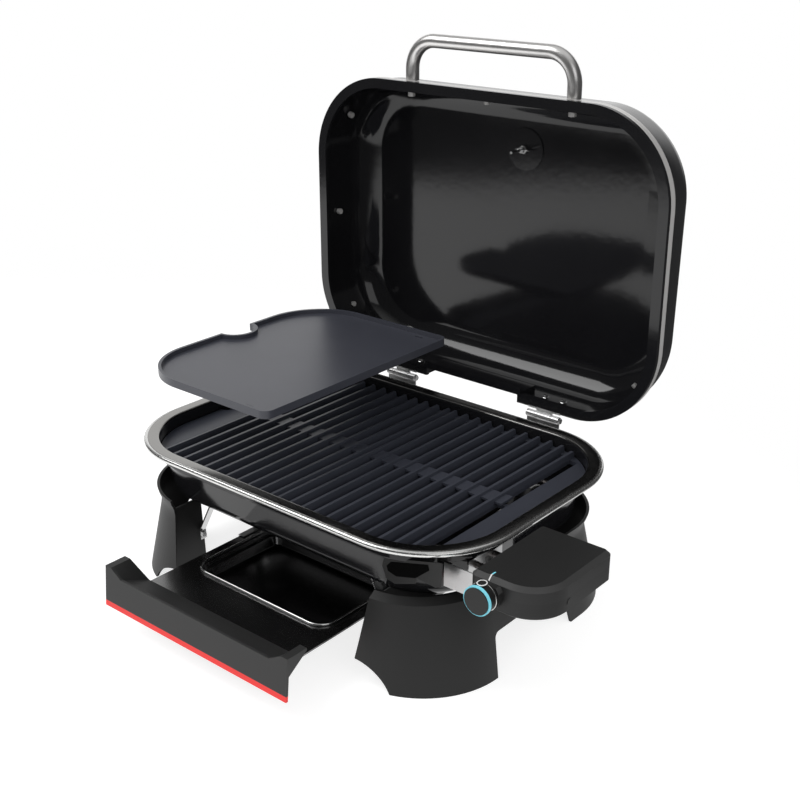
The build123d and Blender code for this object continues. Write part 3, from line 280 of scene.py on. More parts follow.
# %% [markdown]
# The floor is a white sheet that only keeps the grill's soft shadow. It is a glowing
# white mixed with its own shaded white, so an open place comes out pure white and a
# shadow a pale grey, and towards its edge it fades out, so that no horizon shows.

# %% Floor sheet
floor_reach = 1.7
floor_shift = (-0.5, -0.6, 0.0)
turns = np.linspace(0, 2 * np.pi, 64, endpoint=False)
floor_mesh = bpy.data.meshes.new("floor")
floor_mesh.from_pydata(
    np.stack([np.cos(turns), np.sin(turns), 0 * turns], axis=1) * floor_reach + floor_shift,
    [],
    [list(range(len(turns)))],
)
floor = bpy.data.objects.new("floor", floor_mesh)
bpy.context.scene.collection.objects.link(floor)
print("floor", 2 * floor_reach, "m wide")

# %% Floor finish
fade_start, fade_end = 1.05, 1.5
shadow_keep = 0.50
floor_glow = 1.55
pale = Finish("pale_floor")
pale.set(Base_Color=(0.9, 0.9, 0.9, 1), Roughness=0.9, Specular_IOR_Level=0.0)
camera_path = pale.node("ShaderNodeLightPath", output="Is Camera Ray")
glossy_path = pale.node("ShaderNodeLightPath", output="Is Glossy Ray")
open_view = (camera_path + glossy_path).clamped()
glow_floor = pale.node(
    "ShaderNodeEmission", values={"Color": (1, 1, 1, 1), "Strength": floor_glow}
)
shaded_floor = pale.node(
    "ShaderNodeMixShader",
    values={
        0: open_view * (1 - shadow_keep),
        1: Wire(pale.tree, pale.shader.outputs[0]),
        2: glow_floor,
    },
)
from_middle = pale.node(
    "ShaderNodeVectorMath",
    settings={"operation": "DISTANCE"},
    values={0: pale.point(), 1: floor_shift},
    output=1,
)
faded = pale.smooth_step(from_middle, fade_start, fade_end)
clear_floor = pale.node("ShaderNodeBsdfTransparent")
whole_floor = pale.node("ShaderNodeMixShader", values={0: faded, 1: shaded_floor, 2: clear_floor})
plug(pale.tree, pale.tree.nodes["Material Output"].inputs["Surface"], whole_floor)
floor_mesh.materials.append(pale.material)
print("the floor fades out between", fade_start, "and", fade_end, "m")

# %% [markdown]
# Two large soft boxes light the shaded surfaces. The stronger one stands at the front on
# the left and above, so that the soft shadow falls to the right, and the weaker one opens
# the shadows from the right. Shiny parts mirror them, but the camera doesn't see them.

# %% Lamps
def soft_lamp(name, place, target, size, watts):
    """A square soft box at a place, turned to a target."""
    data = bpy.data.lights.new(name, "AREA")
    data.shape = "SQUARE"
    data.size = size
    data.energy = watts
    lamp = bpy.data.objects.new(name, data)
    bpy.context.scene.collection.objects.link(lamp)
    lamp.location = place
    aim = Vector(target) - Vector(place)
    lamp.rotation_mode = "QUATERNION"
    lamp.rotation_quaternion = aim.to_track_quat("-Z", "Y")
    lamp.visible_camera = False
    print(name, "lamp of", watts, "W")


middle = (0.0, 0.0, 0.2)
soft_lamp("key", (-1.6, -1.2, 2.6), middle, 1.6, 34)
soft_lamp("fill", (2.4, -1.4, 1.8), middle, 1.8, 10)

# %% [markdown]
# Black enamel is a thin layer of glass on steel. Its colour is nearly nothing: what the
# eye sees is the mirror image on it, sharp but a little wavy where the glass flowed in
# the kiln. A very shallow, broad bump gives the waviness. The flange of the cook box is
# bare dark steel, which mirrors more strongly and shows as a pale band on the left. It is
# told from the enamel by its height.

# %% Black enamel
def enamel(name, waviness=0.04 * mm, glass_index=1.5, bare_above=None):
    """Glossy black enamel with a faint orange peel, and bare steel above a height."""
    finish = Finish(name)
    peel = finish.noise(0.012, detail=1.0)
    haze = finish.noise(0.09, detail=3.0)
    colour = finish.between(haze, (0.006, 0.006, 0.007), (0.011, 0.011, 0.012))
    rough = 0.07 + haze * 0.05
    if bare_above is not None:
        bare = finish.part_of(finish.point(), 2) > bare_above
        colour = finish.between(bare, colour, (0.30, 0.295, 0.285))
        rough = rough + bare * 0.06
        finish.set(Metallic=bare)
    finish.set(
        Base_Color=colour,
        Roughness=rough,
        Normal=finish.bump(peel, waviness),
        IOR=glass_index,
    )
    return finish.material


flange_level = 181.2 * mm
black_enamel = enamel("black_enamel")
lid_enamel = enamel("lid_enamel")
tub_enamel = enamel("tub_enamel", 0.03 * mm, 1.45, flange_level)
print("the tub is bare above", round(flange_level / mm, 1), "mm")

# %% [markdown]
# The grates and the griddle are cast iron under a matt enamel. Sand in the mould leaves a
# fine rough skin, and a slow cloud of noise keeps the large plate from one flat tone.

# %% Cast iron
def cast_iron(name, low, high, rough):
    """Matt enamelled cast iron: a sandy skin with slow cloudy changes of tone."""
    finish = Finish(name)
    sand = finish.noise(0.0012, detail=4.0, roughness=0.65)
    cloud = finish.noise(0.05, detail=2.0)
    finish.set(
        Base_Color=finish.between(cloud, low, high),
        Roughness=rough + (sand - 0.5) * 0.18,
        Normal=finish.bump(sand, 0.00012, 0.6),
        IOR=1.5,
    )
    return finish.material


cast_grate = cast_iron("cast_grate", (0.034, 0.037, 0.049), (0.048, 0.052, 0.068), 0.34)
cast_griddle = cast_iron("cast_griddle", (0.042, 0.044, 0.056), (0.055, 0.058, 0.073), 0.34)
print("two tones of cast iron")

# %% [markdown]
# The legs, the control box and the tray's front are moulded in plastic. The mould is etched by sparks,
# which leaves an even fine grain. The sloping edges of the control box get a painted highlight, a paler
# colour, and a slope can be told by how far the normal leans from upright.

# %% Moulded plastic
def moulded(name, low, high, rough=0.52, painted_slope_highlight=None):
    """Matt plastic with an even fine grain, and a painted highlight, a paler colour, on sloping faces."""
    finish = Finish(name)
    fine = finish.noise(0.0007, detail=3.0, roughness=0.6)
    colour = finish.between(finish.noise(0.08, detail=1.0), low, high)
    # Painted highlight: faces that lean between upright and level get the paler colour
    if painted_slope_highlight:
        upright = finish.part_of(finish.node("ShaderNodeTexCoord", output="Normal"), 2)
        colour = finish.between((upright > 0.35) * (upright < 0.93), colour, painted_slope_highlight)
    finish.set(
        Base_Color=colour,
        Roughness=rough + (fine - 0.5) * 0.12,
        Normal=finish.bump(fine, 0.00005, 0.7),
        IOR=1.48,
    )
    return finish.material


def grey(tone):
    """A colour without hue."""
    return (tone, tone, tone)


black_plastic = moulded("black_plastic", grey(0.007), grey(0.010))
fascia_plastic = moulded("fascia_plastic", grey(0.017), grey(0.022))
# The control box's sloping edges get a painted highlight
control_plastic = moulded("control_plastic", grey(0.010), grey(0.014), painted_slope_highlight=grey(0.042))
red_plastic = moulded("red_plastic", (0.86, 0.022, 0.020), (0.95, 0.030, 0.026), 0.4)
blue_plastic = moulded("blue_plastic", (0.22, 0.74, 0.90), (0.26, 0.80, 0.95), 0.4)
white_plastic = moulded("white_plastic", grey(0.80), grey(0.88), 0.4)
rubber = moulded("rubber", grey(0.018), grey(0.024), 0.7)
dial_white = moulded("dial_white", (0.78, 0.78, 0.75), (0.84, 0.84, 0.81), 0.45)
needle_red = moulded("needle_red", (0.55, 0.02, 0.015), (0.62, 0.03, 0.02), 0.4)

# A dead black with almost no shine, used to paint shade into hollows
painted_shade_finish = Finish("painted_shade_black")
painted_shade_finish.set(Base_Color=(*grey(0.002), 1), Roughness=0.9, Specular_IOR_Level=0.05)
painted_shade_black = painted_shade_finish.material
print("nine plastics, and a dead black for hollows")

# %% [markdown]
# Steel is brushed, rolled or plated. One noise does all of it: it moves the roughness and
# a very shallow bump together, and where the brush ran one way it is drawn out along it.
# The band round the lid is plated and satin, so it is only part mirror.

# %% Steel
def steel(name, low, high, rough, grain_scale=(1, 1, 1), depth=0.00003, size=0.004):
    """Brushed steel: noise drawn out along the grain moves the roughness and the bump."""
    finish = Finish(name)
    place = finish.stretched(grain_scale)
    grain = finish.noise(size, detail=5.0, place=place, roughness=0.7)
    finish.set(
        Base_Color=finish.between(grain, low, high),
        Metallic=1.0,
        Roughness=rough + (grain - 0.5) * 0.16,
        Normal=finish.bump(grain, depth, 0.5),
    )
    return finish.material


handle_steel = steel(
    "handle_steel", (0.74, 0.73, 0.72), (0.84, 0.83, 0.82), 0.34, depth=0.000008, size=0.002
)
sheet_steel = steel("sheet_steel", grey(0.50), grey(0.62), 0.30, (3, 0.2, 3))
bright_steel = steel("bright_steel", grey(0.66), grey(0.76), 0.14, depth=0.00001)
bead_steel = steel("bead_steel", (0.70, 0.70, 0.69), (0.78, 0.78, 0.77), 0.26, depth=0.00001)
dark_satin = steel("dark_satin", (0.035, 0.035, 0.037), (0.055, 0.055, 0.058), 0.34, depth=0.00002)
pan_satin = steel("pan_satin", (0.13, 0.13, 0.132), (0.17, 0.17, 0.172), 0.20, depth=0.00001)
tray_satin = steel("tray_satin", grey(0.20), grey(0.25), 0.22, depth=0.00001)
sheath = steel("sheath", (0.10, 0.09, 0.09), (0.17, 0.16, 0.155), 0.42, size=0.01)
brass = steel("brass", (0.60, 0.43, 0.18), (0.72, 0.54, 0.24), 0.25)

trim = Finish("trim_satin")
trim_colour = trim.between(trim.noise(0.002), (0.58, 0.57, 0.56), (0.64, 0.63, 0.62))
trim.set(Base_Color=trim_colour, Metallic=0.4, Roughness=0.3)
trim_band = trim.material

glass = Finish("dial_glass")
glass.set(Base_Color=(0.96, 0.98, 0.98, 1), Roughness=0.03, Transmission_Weight=1.0, IOR=1.45)
print("nine metals, a satin band and the glass of the dial")

# %% [markdown]
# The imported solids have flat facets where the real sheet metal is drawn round, and black
# enamel shows every facet as a line in its mirror image. So the shells, the tubes and the
# rolled edges are worked out again as smooth surfaces. Nearly all of them are one
# profile carried round a rectangle with round corners. The profile is a list of pairs:
# how far in from the edge, and how high. Carrying it is one sum on whole arrays.

# %% Round-cornered paths
def unit(vector):
    """A vector of length 1 the same way."""
    return vector / np.linalg.norm(vector)


def rounded_loop(half_x, half_y, radius, steps=24):
    """Corner centres and outward normals round a rectangle with round corners.

    At each corner the normal (cos a, sin a) turns through a quarter circle while the
    centre stays at (half_x - radius, half_y - radius), with the corner's signs.
    """
    quarter = np.linspace(0, np.pi / 2, steps + 1)
    angle = np.concatenate([quarter + k * np.pi / 2 for k in range(4)])
    signs = np.repeat([[1, 1], [-1, 1], [-1, -1], [1, -1]], steps + 1, axis=0)
    normal = np.stack([np.cos(angle), np.sin(angle)], axis=1)
    return signs * [half_x - radius, half_y - radius], normal, radius


def carried(loop, profile):
    """Points of a profile at every place of a loop: centre + normal * (radius - inset)."""
    centre, normal, radius = loop
    reach = radius - profile[:, 0]
    flat = centre[:, None, :] + normal[:, None, :] * reach[None, :, None]
    height = np.broadcast_to(profile[:, 1], flat.shape[:2])
    return np.concatenate([flat, height[..., None]], axis=2)


# %% Profiles
def rounded_line(points, radii, steps=8):
    """A line with each inner corner replaced by an arc, as an array of points.

    An arc of radius r leaves each run at r * tan(turn / 2) from the corner, and its
    centre lies at r / cos(turn / 2) along the corner's bisector.
    """
    points = np.array(points, dtype=float)
    pieces = [points[:1]]
    for before, corner, after, radius in zip(points, points[1:], points[2:], radii):
        back = unit(before - corner)
        on = unit(after - corner)
        half_turn = (np.pi - np.arccos(np.clip(back @ on, -1, 1))) / 2
        leave = radius * np.tan(half_turn)
        centre = corner + unit(back + on) * radius / np.cos(half_turn)
        first = (corner + back * leave - centre) / radius
        last = (corner + on * leave - centre) / radius
        share = np.linspace(0, 1, steps + 1)[:, None]
        whole = 2 * half_turn
        arc = np.sin((1 - share) * whole) * first + np.sin(share * whole) * last
        pieces.append(centre + radius * arc / np.sin(whole))
    pieces.append(points[-1:])
    return np.concatenate(pieces)


def thickened(line, thickness):
    """The closed outline of a sheet: its middle line moved half a thickness each way."""
    run = np.diff(line, axis=0)
    run /= np.linalg.norm(run, axis=1, keepdims=True)
    run = np.concatenate([run[:1], run[:-1] + run[1:], run[-1:]])
    side = np.stack([-run[:, 1], run[:, 0]], axis=1)
    side *= thickness / 2 / np.linalg.norm(side, axis=1, keepdims=True)
    return np.concatenate([line + side, (line - side)[::-1]])


def circle(sides):
    """Points (cos a, sin a) on a circle of radius 1."""
    angle = np.linspace(0, 2 * np.pi, sides, endpoint=False)
    return np.stack([np.cos(angle), np.sin(angle)], axis=1)


def round_bar(inset, height, radius, sides=20):
    """The profile of a round bar, whose middle is at an inset and a height."""
    return circle(sides) * (-radius, radius) + (inset, height)


corner_sample = rounded_line([(0, 0), (1, 0), (1, 1)], [0.5])
print("a rounded corner has", len(corner_sample), "points")

# %% [markdown]
# A grid of points becomes a mesh by joining each point with its neighbours. The helpers
# below give a shape as a pair, its points and its faces: a ring, a dished sheet, a plank,
# a prism and a pipe are nearly all that the grill needs.

# %% Shapes as points and faces
def quads(rows, columns, closed_rows=True):
    """Faces of a grid of points, joined round its columns and, if closed, its rows."""
    row = np.arange(rows if closed_rows else rows - 1)[:, None]
    column = np.arange(columns)[None, :]
    next_row = (row + 1) % rows
    next_column = (column + 1) % columns
    corners = [
        row * columns + column,
        next_row * columns + column,
        next_row * columns + next_column,
        row * columns + next_column,
    ]
    return np.stack(corners, axis=2).reshape(-1, 4)


def ring(loop, profile, place=lambda p: p):
    """A closed profile carried round a closed loop."""
    grid = carried(loop, profile)
    return place(grid), quads(*grid.shape[:2])


def dish(loop, line, thickness, place=lambda p: p):
    """A dished sheet: its section is carried round the loop and its floor is closed."""
    last = len(line) - 1
    grid = carried(loop, thickened(line, thickness))
    rows, columns = grid.shape[:2]
    strips = quads(rows, columns).reshape(rows, columns, 4)
    walls = strips[:, np.arange(columns) != last].reshape(-1, 4)
    outer_floor = np.arange(rows) * columns + last
    return place(grid), [*walls, outer_floor, outer_floor + 1]


def plank(low, high):
    """A box between two corners."""
    corners = np.array([[x, y, z] for x in (0, 1) for y in (0, 1) for z in (0, 1)])
    faces = [[0, 1, 3, 2], [4, 6, 7, 5], [0, 4, 5, 1], [2, 3, 7, 6], [0, 2, 6, 4], [1, 5, 7, 3]]
    return np.array(low) + corners * (np.array(high) - np.array(low)), faces


def prism(outline, low, high, axis):
    """An outline in the two other axes, drawn out along one axis."""
    outline = np.asarray(outline, dtype=float)
    count = len(outline)
    points = np.empty((2, count, 3))
    others = [i for i in range(3) if i != axis]
    points[:, :, others] = outline
    points[0, :, axis] = low
    points[1, :, axis] = high
    sides = quads(2, count, closed_rows=False)
    return points, [*sides, range(count), range(count, 2 * count)]


def pipe(line, radius, normal, sides=24):
    """A round bar along a line that lies in a plane with the given normal.

    Each ring is the line's point + radius * (cos b * across + sin b * normal), and a
    flat face closes each end.
    """
    line = np.asarray(line, dtype=float)
    run = np.gradient(line, axis=0)
    run /= np.linalg.norm(run, axis=1, keepdims=True)
    normal = np.asarray(normal, dtype=float)
    across = np.cross(run, normal)
    turned = circle(sides)
    along, up = turned[None, :, :1], turned[None, :, 1:]
    grid = line[:, None] + radius * (along * across[:, None] + up * normal)
    walls = quads(len(line), sides, closed_rows=False)
    last = (len(line) - 1) * sides
    return grid, [*walls, range(sides), range(last, last + sides)]


print("a plank has", len(plank((0, 0, 0), (1, 1, 1))[1]), "faces")

# %% [markdown]
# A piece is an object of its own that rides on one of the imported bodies, so that it moves
# with the lid or the pan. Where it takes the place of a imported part, that part is named.
# Holes are cut with Boolean modifiers that are applied at once, so nothing stays live.

# %% From shapes to pieces
smooth_below = 35


def closed_mesh(name, shape):
    """A mesh whose doubles are merged and whose faces all point outwards."""
    points, faces = shape
    mesh = bpy.data.meshes.new(name)
    points = np.asarray(points, dtype=float).reshape(-1, 3)
    mesh.from_pydata(points, [], [[int(i) for i in face] for face in faces])
    worker = bmesh.new()
    worker.from_mesh(mesh)
    bmesh.ops.remove_doubles(worker, verts=worker.verts, dist=1e-6)
    bmesh.ops.recalc_face_normals(worker, faces=worker.faces)
    worker.to_mesh(mesh)
    worker.free()
    return mesh


def shade(mesh, sharp):
    """Smooth shading, with a sharp edge where two faces meet at more than some degrees."""
    mesh.shade_smooth()
    mesh.set_sharp_from_angle(angle=math.radians(sharp))


def piece(name, shape, finish, body, replaced=(), sharp=smooth_below):
    """Make one object from a shape, finish it and let it ride a body."""
    mesh = closed_mesh(name, shape)
    made = bpy.data.objects.new(name, mesh)
    bpy.context.scene.collection.objects.link(made)
    mesh.materials.append(finish)
    shade(mesh, sharp)
    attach(made, body)
    if replaced:
        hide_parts(*replaced)
    print(name, len(mesh.polygons), "faces")
    return made


def cut_away(made, tools):
    """Take some shapes out of a piece."""
    for shape in tools:
        tool = bpy.data.objects.new("tool", closed_mesh("tool", shape))
        bpy.context.scene.collection.objects.link(tool)
        change = made.modifiers.new("cut", "BOOLEAN")
        change.operation = "DIFFERENCE"
        change.solver = "EXACT"
        change.object = tool
        view = bpy.context.evaluated_depsgraph_get()
        cut = bpy.data.meshes.new_from_object(made.evaluated_get(view))
        made.modifiers.remove(change)
        finish = made.data.materials[0]
        made.data = cut
        if not cut.materials:
            cut.materials.append(finish)
        bpy.data.objects.remove(tool)
    shade(made.data, smooth_below)
    print(made.name, "after cutting:", len(made.data.polygons), "faces")


# %% [markdown]
# The lid is one pressed shell. On the real grill it is drawn from a flat sheet, so every
# edge is a wide, even curve, and those curves carry the long bright streaks inside it.
# Here its section runs from the rim up the wall, round the curve and a little way on to
# the crown, and the crown is closed with one face on each side. The section is drawn for
# a closed lid and then stood up on its hinge side, as the lid stands open.

# %% Sizes of the lid
lid_low, lid_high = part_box("lid_rim")
dome_low, dome_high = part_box("lid_dome")
lid_centre = (lid_low[2] + lid_high[2]) / 2
rim_foot = lid_centre - (lid_high[2] - lid_low[2]) / 2
hinge_line = 213.0 * mm
dome_half_x = dome_high[0]
dome_half_y = (dome_high[2] - dome_low[2]) / 2
dome_corner = 113.5 * mm
dome_top = dome_high[1] - hinge_line
dome_foot = dome_low[1] - hinge_line
dome_sheet = 1.6 * mm
dome_round = 42 * mm
dome_draft = 2 * mm
crown_run = 22 * mm
print("the dome is", round((dome_top - dome_foot) / mm, 1), "mm deep")

# %% [markdown]
# The photograph shows the lid's right outline leaning in and getting shallower towards
# the hinges. The lid closes over the lifted griddle on its left, so only the right half
# takes that form here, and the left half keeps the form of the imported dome.

# %% Standing the lid up
right_lean, right_full = 15 * mm, 200 * mm
top_lean, top_start, top_run = 6 * mm, 420 * mm, 150 * mm
lean_power = 1.3
hinge_wedge, wedge_start, wedge_run = 0.11, 470 * mm, 280 * mm


def stood_up(points):
    """Turn points drawn for the closed lid into the open lid's place.

    The right wall and the front wall lean in with the depth d above the foot: a point
    moves by lean * (d / full depth) ** power. Towards the hinges the right half gets
    shallower: d is multiplied by 1 - wedge * share, and the share grows from 0 to 1.
    """
    points = np.asarray(points)
    level = lid_centre - points[..., 1]
    depth = points[..., 2] - dome_foot
    right = np.clip(points[..., 0] / right_full, 0, 1)
    low = np.clip((wedge_start - level) / wedge_run, 0, 1)
    high = np.clip((level - top_start) / top_run, 0, 1)
    lean = np.clip(depth / (dome_top - dome_foot), 0, 1) ** lean_power
    across = points[..., 0] - right_lean * right * lean
    height = dome_foot + depth * (1 - hinge_wedge * low * right)
    return np.stack([across, height + hinge_line, level - top_lean * high * lean], axis=-1)


print("the right wall leans in by", round(right_lean / mm, 1), "mm")

# %% Lid shell
dome_line = rounded_line(
    [
        (dome_sheet / 2, dome_foot),
        (dome_sheet / 2 + dome_draft, dome_top - dome_sheet / 2),
        (dome_round + crown_run, dome_top - dome_sheet / 2),
    ],
    [dome_round],
    steps=16,
)
dome_loop = rounded_loop(dome_half_x, dome_half_y, dome_corner, steps=32)
lid_shell = piece(
    "lid_shell",
    dish(dome_loop, dome_line, dome_sheet, stood_up),
    lid_enamel,
    "lid",
    replaced=["lid_dome"],
)

# %% [markdown]
# Between the hinges the back wall has a shallow recess. It is cut out of the shell and
# walled up again with four thin plates.

# %% Recess at the hinges
recess_half = 78 * mm
recess_deep = 11 * mm
recess_high = 40 * mm
cut_over = 5 * mm
foot_y = dome_foot + hinge_line
recess_y = recess_high + hinge_line
recess_wall = rim_foot + recess_deep
wall_low = lid_centre - dome_half_y
cut_away(
    lid_shell,
    [plank((-recess_half, foot_y - cut_over, rim_foot - cut_over), (recess_half, recess_y, recess_wall))],
)
recess_reach = recess_half + dome_sheet
recess_plates = [
    plank(
        (-recess_reach, foot_y, recess_wall),
        (recess_reach, recess_y + dome_sheet, recess_wall + dome_sheet),
    ),
    plank((-recess_reach, recess_y, wall_low), (recess_reach, recess_y + dome_sheet, recess_wall)),
]
for side in (-1, 1):
    near, far = sorted((side * recess_half, side * recess_reach))
    recess_plates.append(plank((near, foot_y, wall_low), (far, recess_y, recess_wall)))
for number, plate in enumerate(recess_plates):
    piece(f"lid_recess_{number}", plate, lid_enamel, "lid")

# %% [markdown]
# A bright band runs round the foot of the dome, just behind the frame. It is open at the
# hinges. Inside the shell sit the nuts of the handle and small rivets.

# %% Bright band of the lid
band_out, band_wide, band_sunk = 1.45 * mm, 12 * mm, 0.2 * mm
band_open_half, band_open_high, beyond = 150 * mm, 20 * mm, 1.0
band_profile = np.array([
    (-band_out, dome_foot),
    (-band_out, dome_foot + band_wide),
    (-band_sunk, dome_foot + band_wide),
    (-band_sunk, dome_foot),
])
lid_band = piece(
    "lid_band", ring(dome_loop, band_profile, stood_up), trim_band, "lid"
)
cut_away(
    lid_band,
    [plank((-band_open_half, 0, -beyond), (band_open_half, beyond, rim_foot + band_open_high))],
)

# %% Nuts and rivets of the lid
# Each entry has the two ends on the stud's axis and its radius, in mm
studs = [
    ((-127, 238, 581), (-127, 238, 574), 5),
    ((127, 238, 581), (127, 238, 574), 5),
    ((-2, 238, 580), (-2, 238, 575.5), 4),
    ((-259, 258.5, 534), (-253, 258.5, 532), 4.2),
    ((-275.5, 249, 392), (-270, 249, 392), 4.2),
    ((-262.5, 261, 248), (-257, 261, 249), 4.2),
    ((245, 236, 541), (237.5, 236, 535), 1.3),
    ((266, 236, 395), (257, 236, 395), 1.3),
    ((246, 238, 246), (239, 236, 252), 3.4),
]
for number, (start, stop, reach) in enumerate(studs):
    line = np.linspace(start, stop, 3) * mm
    square = unit(np.cross(unit(line[-1] - line[0]), (0, 1, 0)))
    piece(
        f"lid_stud_{number}",
        pipe(line, reach * mm, square, sides=6),
        trim_band,
        "lid",
        sharp=20,
    )

# %% [markdown]
# The cook box is a deep tub in the same black enamel. Its section drops from the flange
# to the ledge that carries the grates, leans in down the wall, turns inwards at the knee
# and ends in a flat floor. Round bends between these runs give the soft broad streaks
# that the photograph shows under the rim.

# %% Cook box
rim_half_x, rim_half_y, rim_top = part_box("rim_band")[1]
rim_corner = 118 * mm
sheet = 2 * mm
ledge_mid = rim_top - 23 * mm
# How far in from the rim, and how high: the foot of the wall and the foot of the slope
wall_foot = (36 * mm, 112 * mm)
slope_foot = (78 * mm, 90 * mm)
tub_line = rounded_line(
    [
        (5 * mm, rim_top - sheet / 2),
        (19 * mm, rim_top - sheet / 2),
        (19 * mm, ledge_mid),
        (27 * mm, ledge_mid),
        wall_foot,
        slope_foot,
        (88 * mm, 81 * mm),
        (94 * mm, 71 * mm),
        (104 * mm, 71 * mm),
    ],
    [2.2 * mm, 2 * mm, 2 * mm, 22 * mm, 10 * mm, 6 * mm, 4 * mm],
    steps=6,
)
rim_loop = rounded_loop(rim_half_x, rim_half_y, rim_corner, steps=32)
cook_tub = piece(
    "cook_tub",
    dish(rim_loop, tub_line, sheet),
    tub_enamel,
    "root",
    replaced=["cook_box"],
)

# %% [markdown]
# The tub has a long drain hole in its floor, for the pan below, and two round holes in its
# right wall, where the ends of the heating element pass through.

# %% Holes of the cook box
drain_half, drain_radius, drain_y = 29 * mm, 6 * mm, -25 * mm
drain_span = (60 * mm, 80 * mm)
half_turn = np.linspace(-np.pi / 2, np.pi / 2, 9)
drain_end = np.stack([np.cos(half_turn), np.sin(half_turn)], axis=1) * drain_radius + (drain_half, 0)
drain = np.concatenate([drain_end, -drain_end]) + (0, drain_y)

tube_low, tube_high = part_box("heating_element")
element_height = (tube_low[2] + tube_high[2]) / 2
element_radius = (tube_high[2] - tube_low[2]) / 2
element_ends = (-108 * mm, -76 * mm)
hole_room = 0.3 * mm
hole_start = 230 * mm
hole = circle(24) * (element_radius + hole_room)
holes = [prism(drain, *drain_span, 2)]
for y in element_ends:
    holes.append(prism(hole + (y, element_height), hole_start, rim_half_x + cut_over, 0))
cut_away(cook_tub, holes)

# %% [markdown]
# A line in the shape of a racetrack stands up from the front slope. It is a rounded ridge
# carried along the outline of a long oval that lies in the plane of the slope.

# %% Racetrack
race_half_x, race_half_y, race_round = 109 * mm, 7.5 * mm, 7.4 * mm
race_wide, race_tall, race_sunk, race_drop = 2.8 * mm, 2 * mm, 0.5 * mm, 5.5 * mm
slope_low = np.array([0, -rim_half_y + slope_foot[0], slope_foot[1]])
slope_high = np.array([0, -rim_half_y + wall_foot[0], wall_foot[1]])
up_slope = unit(slope_high - slope_low)
off_slope = np.array([0, -up_slope[2], up_slope[1]])
race_middle = (slope_low + slope_high) / 2 - up_slope * race_drop + off_slope * sheet / 2


def on_slope(points):
    """Turn points drawn flat into the plane of the front slope."""
    points = np.asarray(points)
    across = race_middle + points[..., :1] * np.array([1.0, 0, 0])
    return across + points[..., 1:2] * up_slope + points[..., 2:] * off_slope


race_loop = rounded_loop(race_half_x, race_half_y, race_round, steps=12)
race_profile = rounded_line(
    [(0, -race_sunk), (0, race_tall), (race_wide, race_tall), (race_wide, -race_sunk)],
    [1.2 * mm, 1.2 * mm],
    steps=5,
)
piece("race_line", ring(race_loop, race_profile, on_slope), tub_enamel, "root")

# %% [markdown]
# A rolled bead closes the edge of the flange. It is a plain round bar carried round the
# rim, and its polish shows two thin bright lines, one from above and one from the floor.

# %% Rim bead
bead_radius = 3.5 * mm
piece(
    "rim_bead",
    ring(rim_loop, round_bar(bead_radius, rim_top - bead_radius, bead_radius, 24)),
    bead_steel,
    "root",
    replaced=["rim_band"],
)

# %% [markdown]
# The handle is a bent steel tube. A line with two round bends gives its middle, and a
# circle is set square to the line at every point.

# %% Handle
handle_low, handle_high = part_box("lid_handle")
handle_round = 37 * mm
tube_radius = (handle_high[1] - handle_low[1]) / 2
handle_y = (handle_high[1] + handle_low[1]) / 2
leg_x = handle_high[0] - tube_radius
bar_z = handle_high[2] - tube_radius
handle_bend = rounded_line(
    [(-leg_x, handle_low[2]), (-leg_x, bar_z), (leg_x, bar_z), (leg_x, handle_low[2])],
    [handle_round, handle_round],
    steps=20,
)
handle_line = np.insert(handle_bend, 1, handle_y, axis=1)
piece(
    "handle_tube",
    pipe(handle_line, tube_radius, (0, 1, 0), sides=40),
    handle_steel,
    "lid",
    replaced=["lid_handle"],
)

# %% [markdown]
# The heating element is one tube that comes in at the right, runs round the tub and twice
# along its middle, and leaves beside its start. It lies flat, so its path is one
# line with equal bends.

# %% Heating element
pass_y, turn_radius = 36 * mm, 17 * mm
half_run, back_x = 190 * mm, 214 * mm
far_x = -half_run - turn_radius
far_y = -element_ends[0]
element_path = rounded_line(
    [
        (tube_high[0], element_ends[0]),
        (far_x, element_ends[0]),
        (far_x, -pass_y),
        (half_run, -pass_y),
        (half_run, pass_y),
        (far_x, pass_y),
        (far_x, far_y),
        (back_x, far_y),
        (back_x, element_ends[1]),
        (tube_high[0], element_ends[1]),
    ],
    [turn_radius] * 8,
    steps=10,
)
element_line = np.insert(element_path, 2, element_height, axis=1)
piece(
    "element_tube",
    pipe(element_line, element_radius, (0, 0, 1), sides=16),
    sheath,
    "root",
    replaced=["heating_element"],
)

# %% [markdown]
# The drip pan is pressed from thin sheet and its edge is rolled over a wire. The roll is
# bright where the coating has been polished off, so it is a bar of its own.

# %% Drip pan
pan_low, pan_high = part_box("drip_pan")
pan_middle = (pan_low[1] + pan_high[1]) / 2
pan_sheet = 1.2 * mm
pan_roll = 1.5 * mm
pan_corner = 24 * mm
pan_seat = pan_high[2] - 2 * pan_roll
pan_loop = rounded_loop(pan_high[0], (pan_high[1] - pan_low[1]) / 2, pan_corner, steps=16)


def at_pan(points):
    """Move points drawn about the middle to the pan's place."""
    return np.asarray(points) + (0, pan_middle, 0)


pan_line = rounded_line(
    [
        (pan_roll, pan_seat + pan_sheet / 2),
        (4.5 * mm, pan_seat + pan_sheet / 2),
        (6.5 * mm, pan_seat - 5 * mm),
        (10 * mm, pan_seat - 5.5 * mm),
        (15.5 * mm, pan_low[2] + pan_sheet / 2),
        (22 * mm, pan_low[2] + pan_sheet / 2),
    ],
    [1.2 * mm, 1.2 * mm, 1.4 * mm, 4 * mm],
)
piece(
    "pan_dish",
    dish(pan_loop, pan_line, pan_sheet, at_pan),
    pan_satin,
    "drip_pan",
    replaced=["drip_pan"],
)
piece(
    "pan_roll",
    ring(pan_loop, round_bar(pan_roll, pan_high[2] - pan_roll, pan_roll, 12), at_pan),
    bright_steel,
    "drip_pan",
)

# %% [markdown]
# The legs are moulded in one frame for each end. The outline on the floor is a rectangle
# with round corners, and it draws in towards a neck and swells again into a collar under
# the rim. One list gives the outline at a few heights, and the wall is drawn between
# them. The front leg on the right ends lower, in a bevel, so the right frame is made of
# two halves.

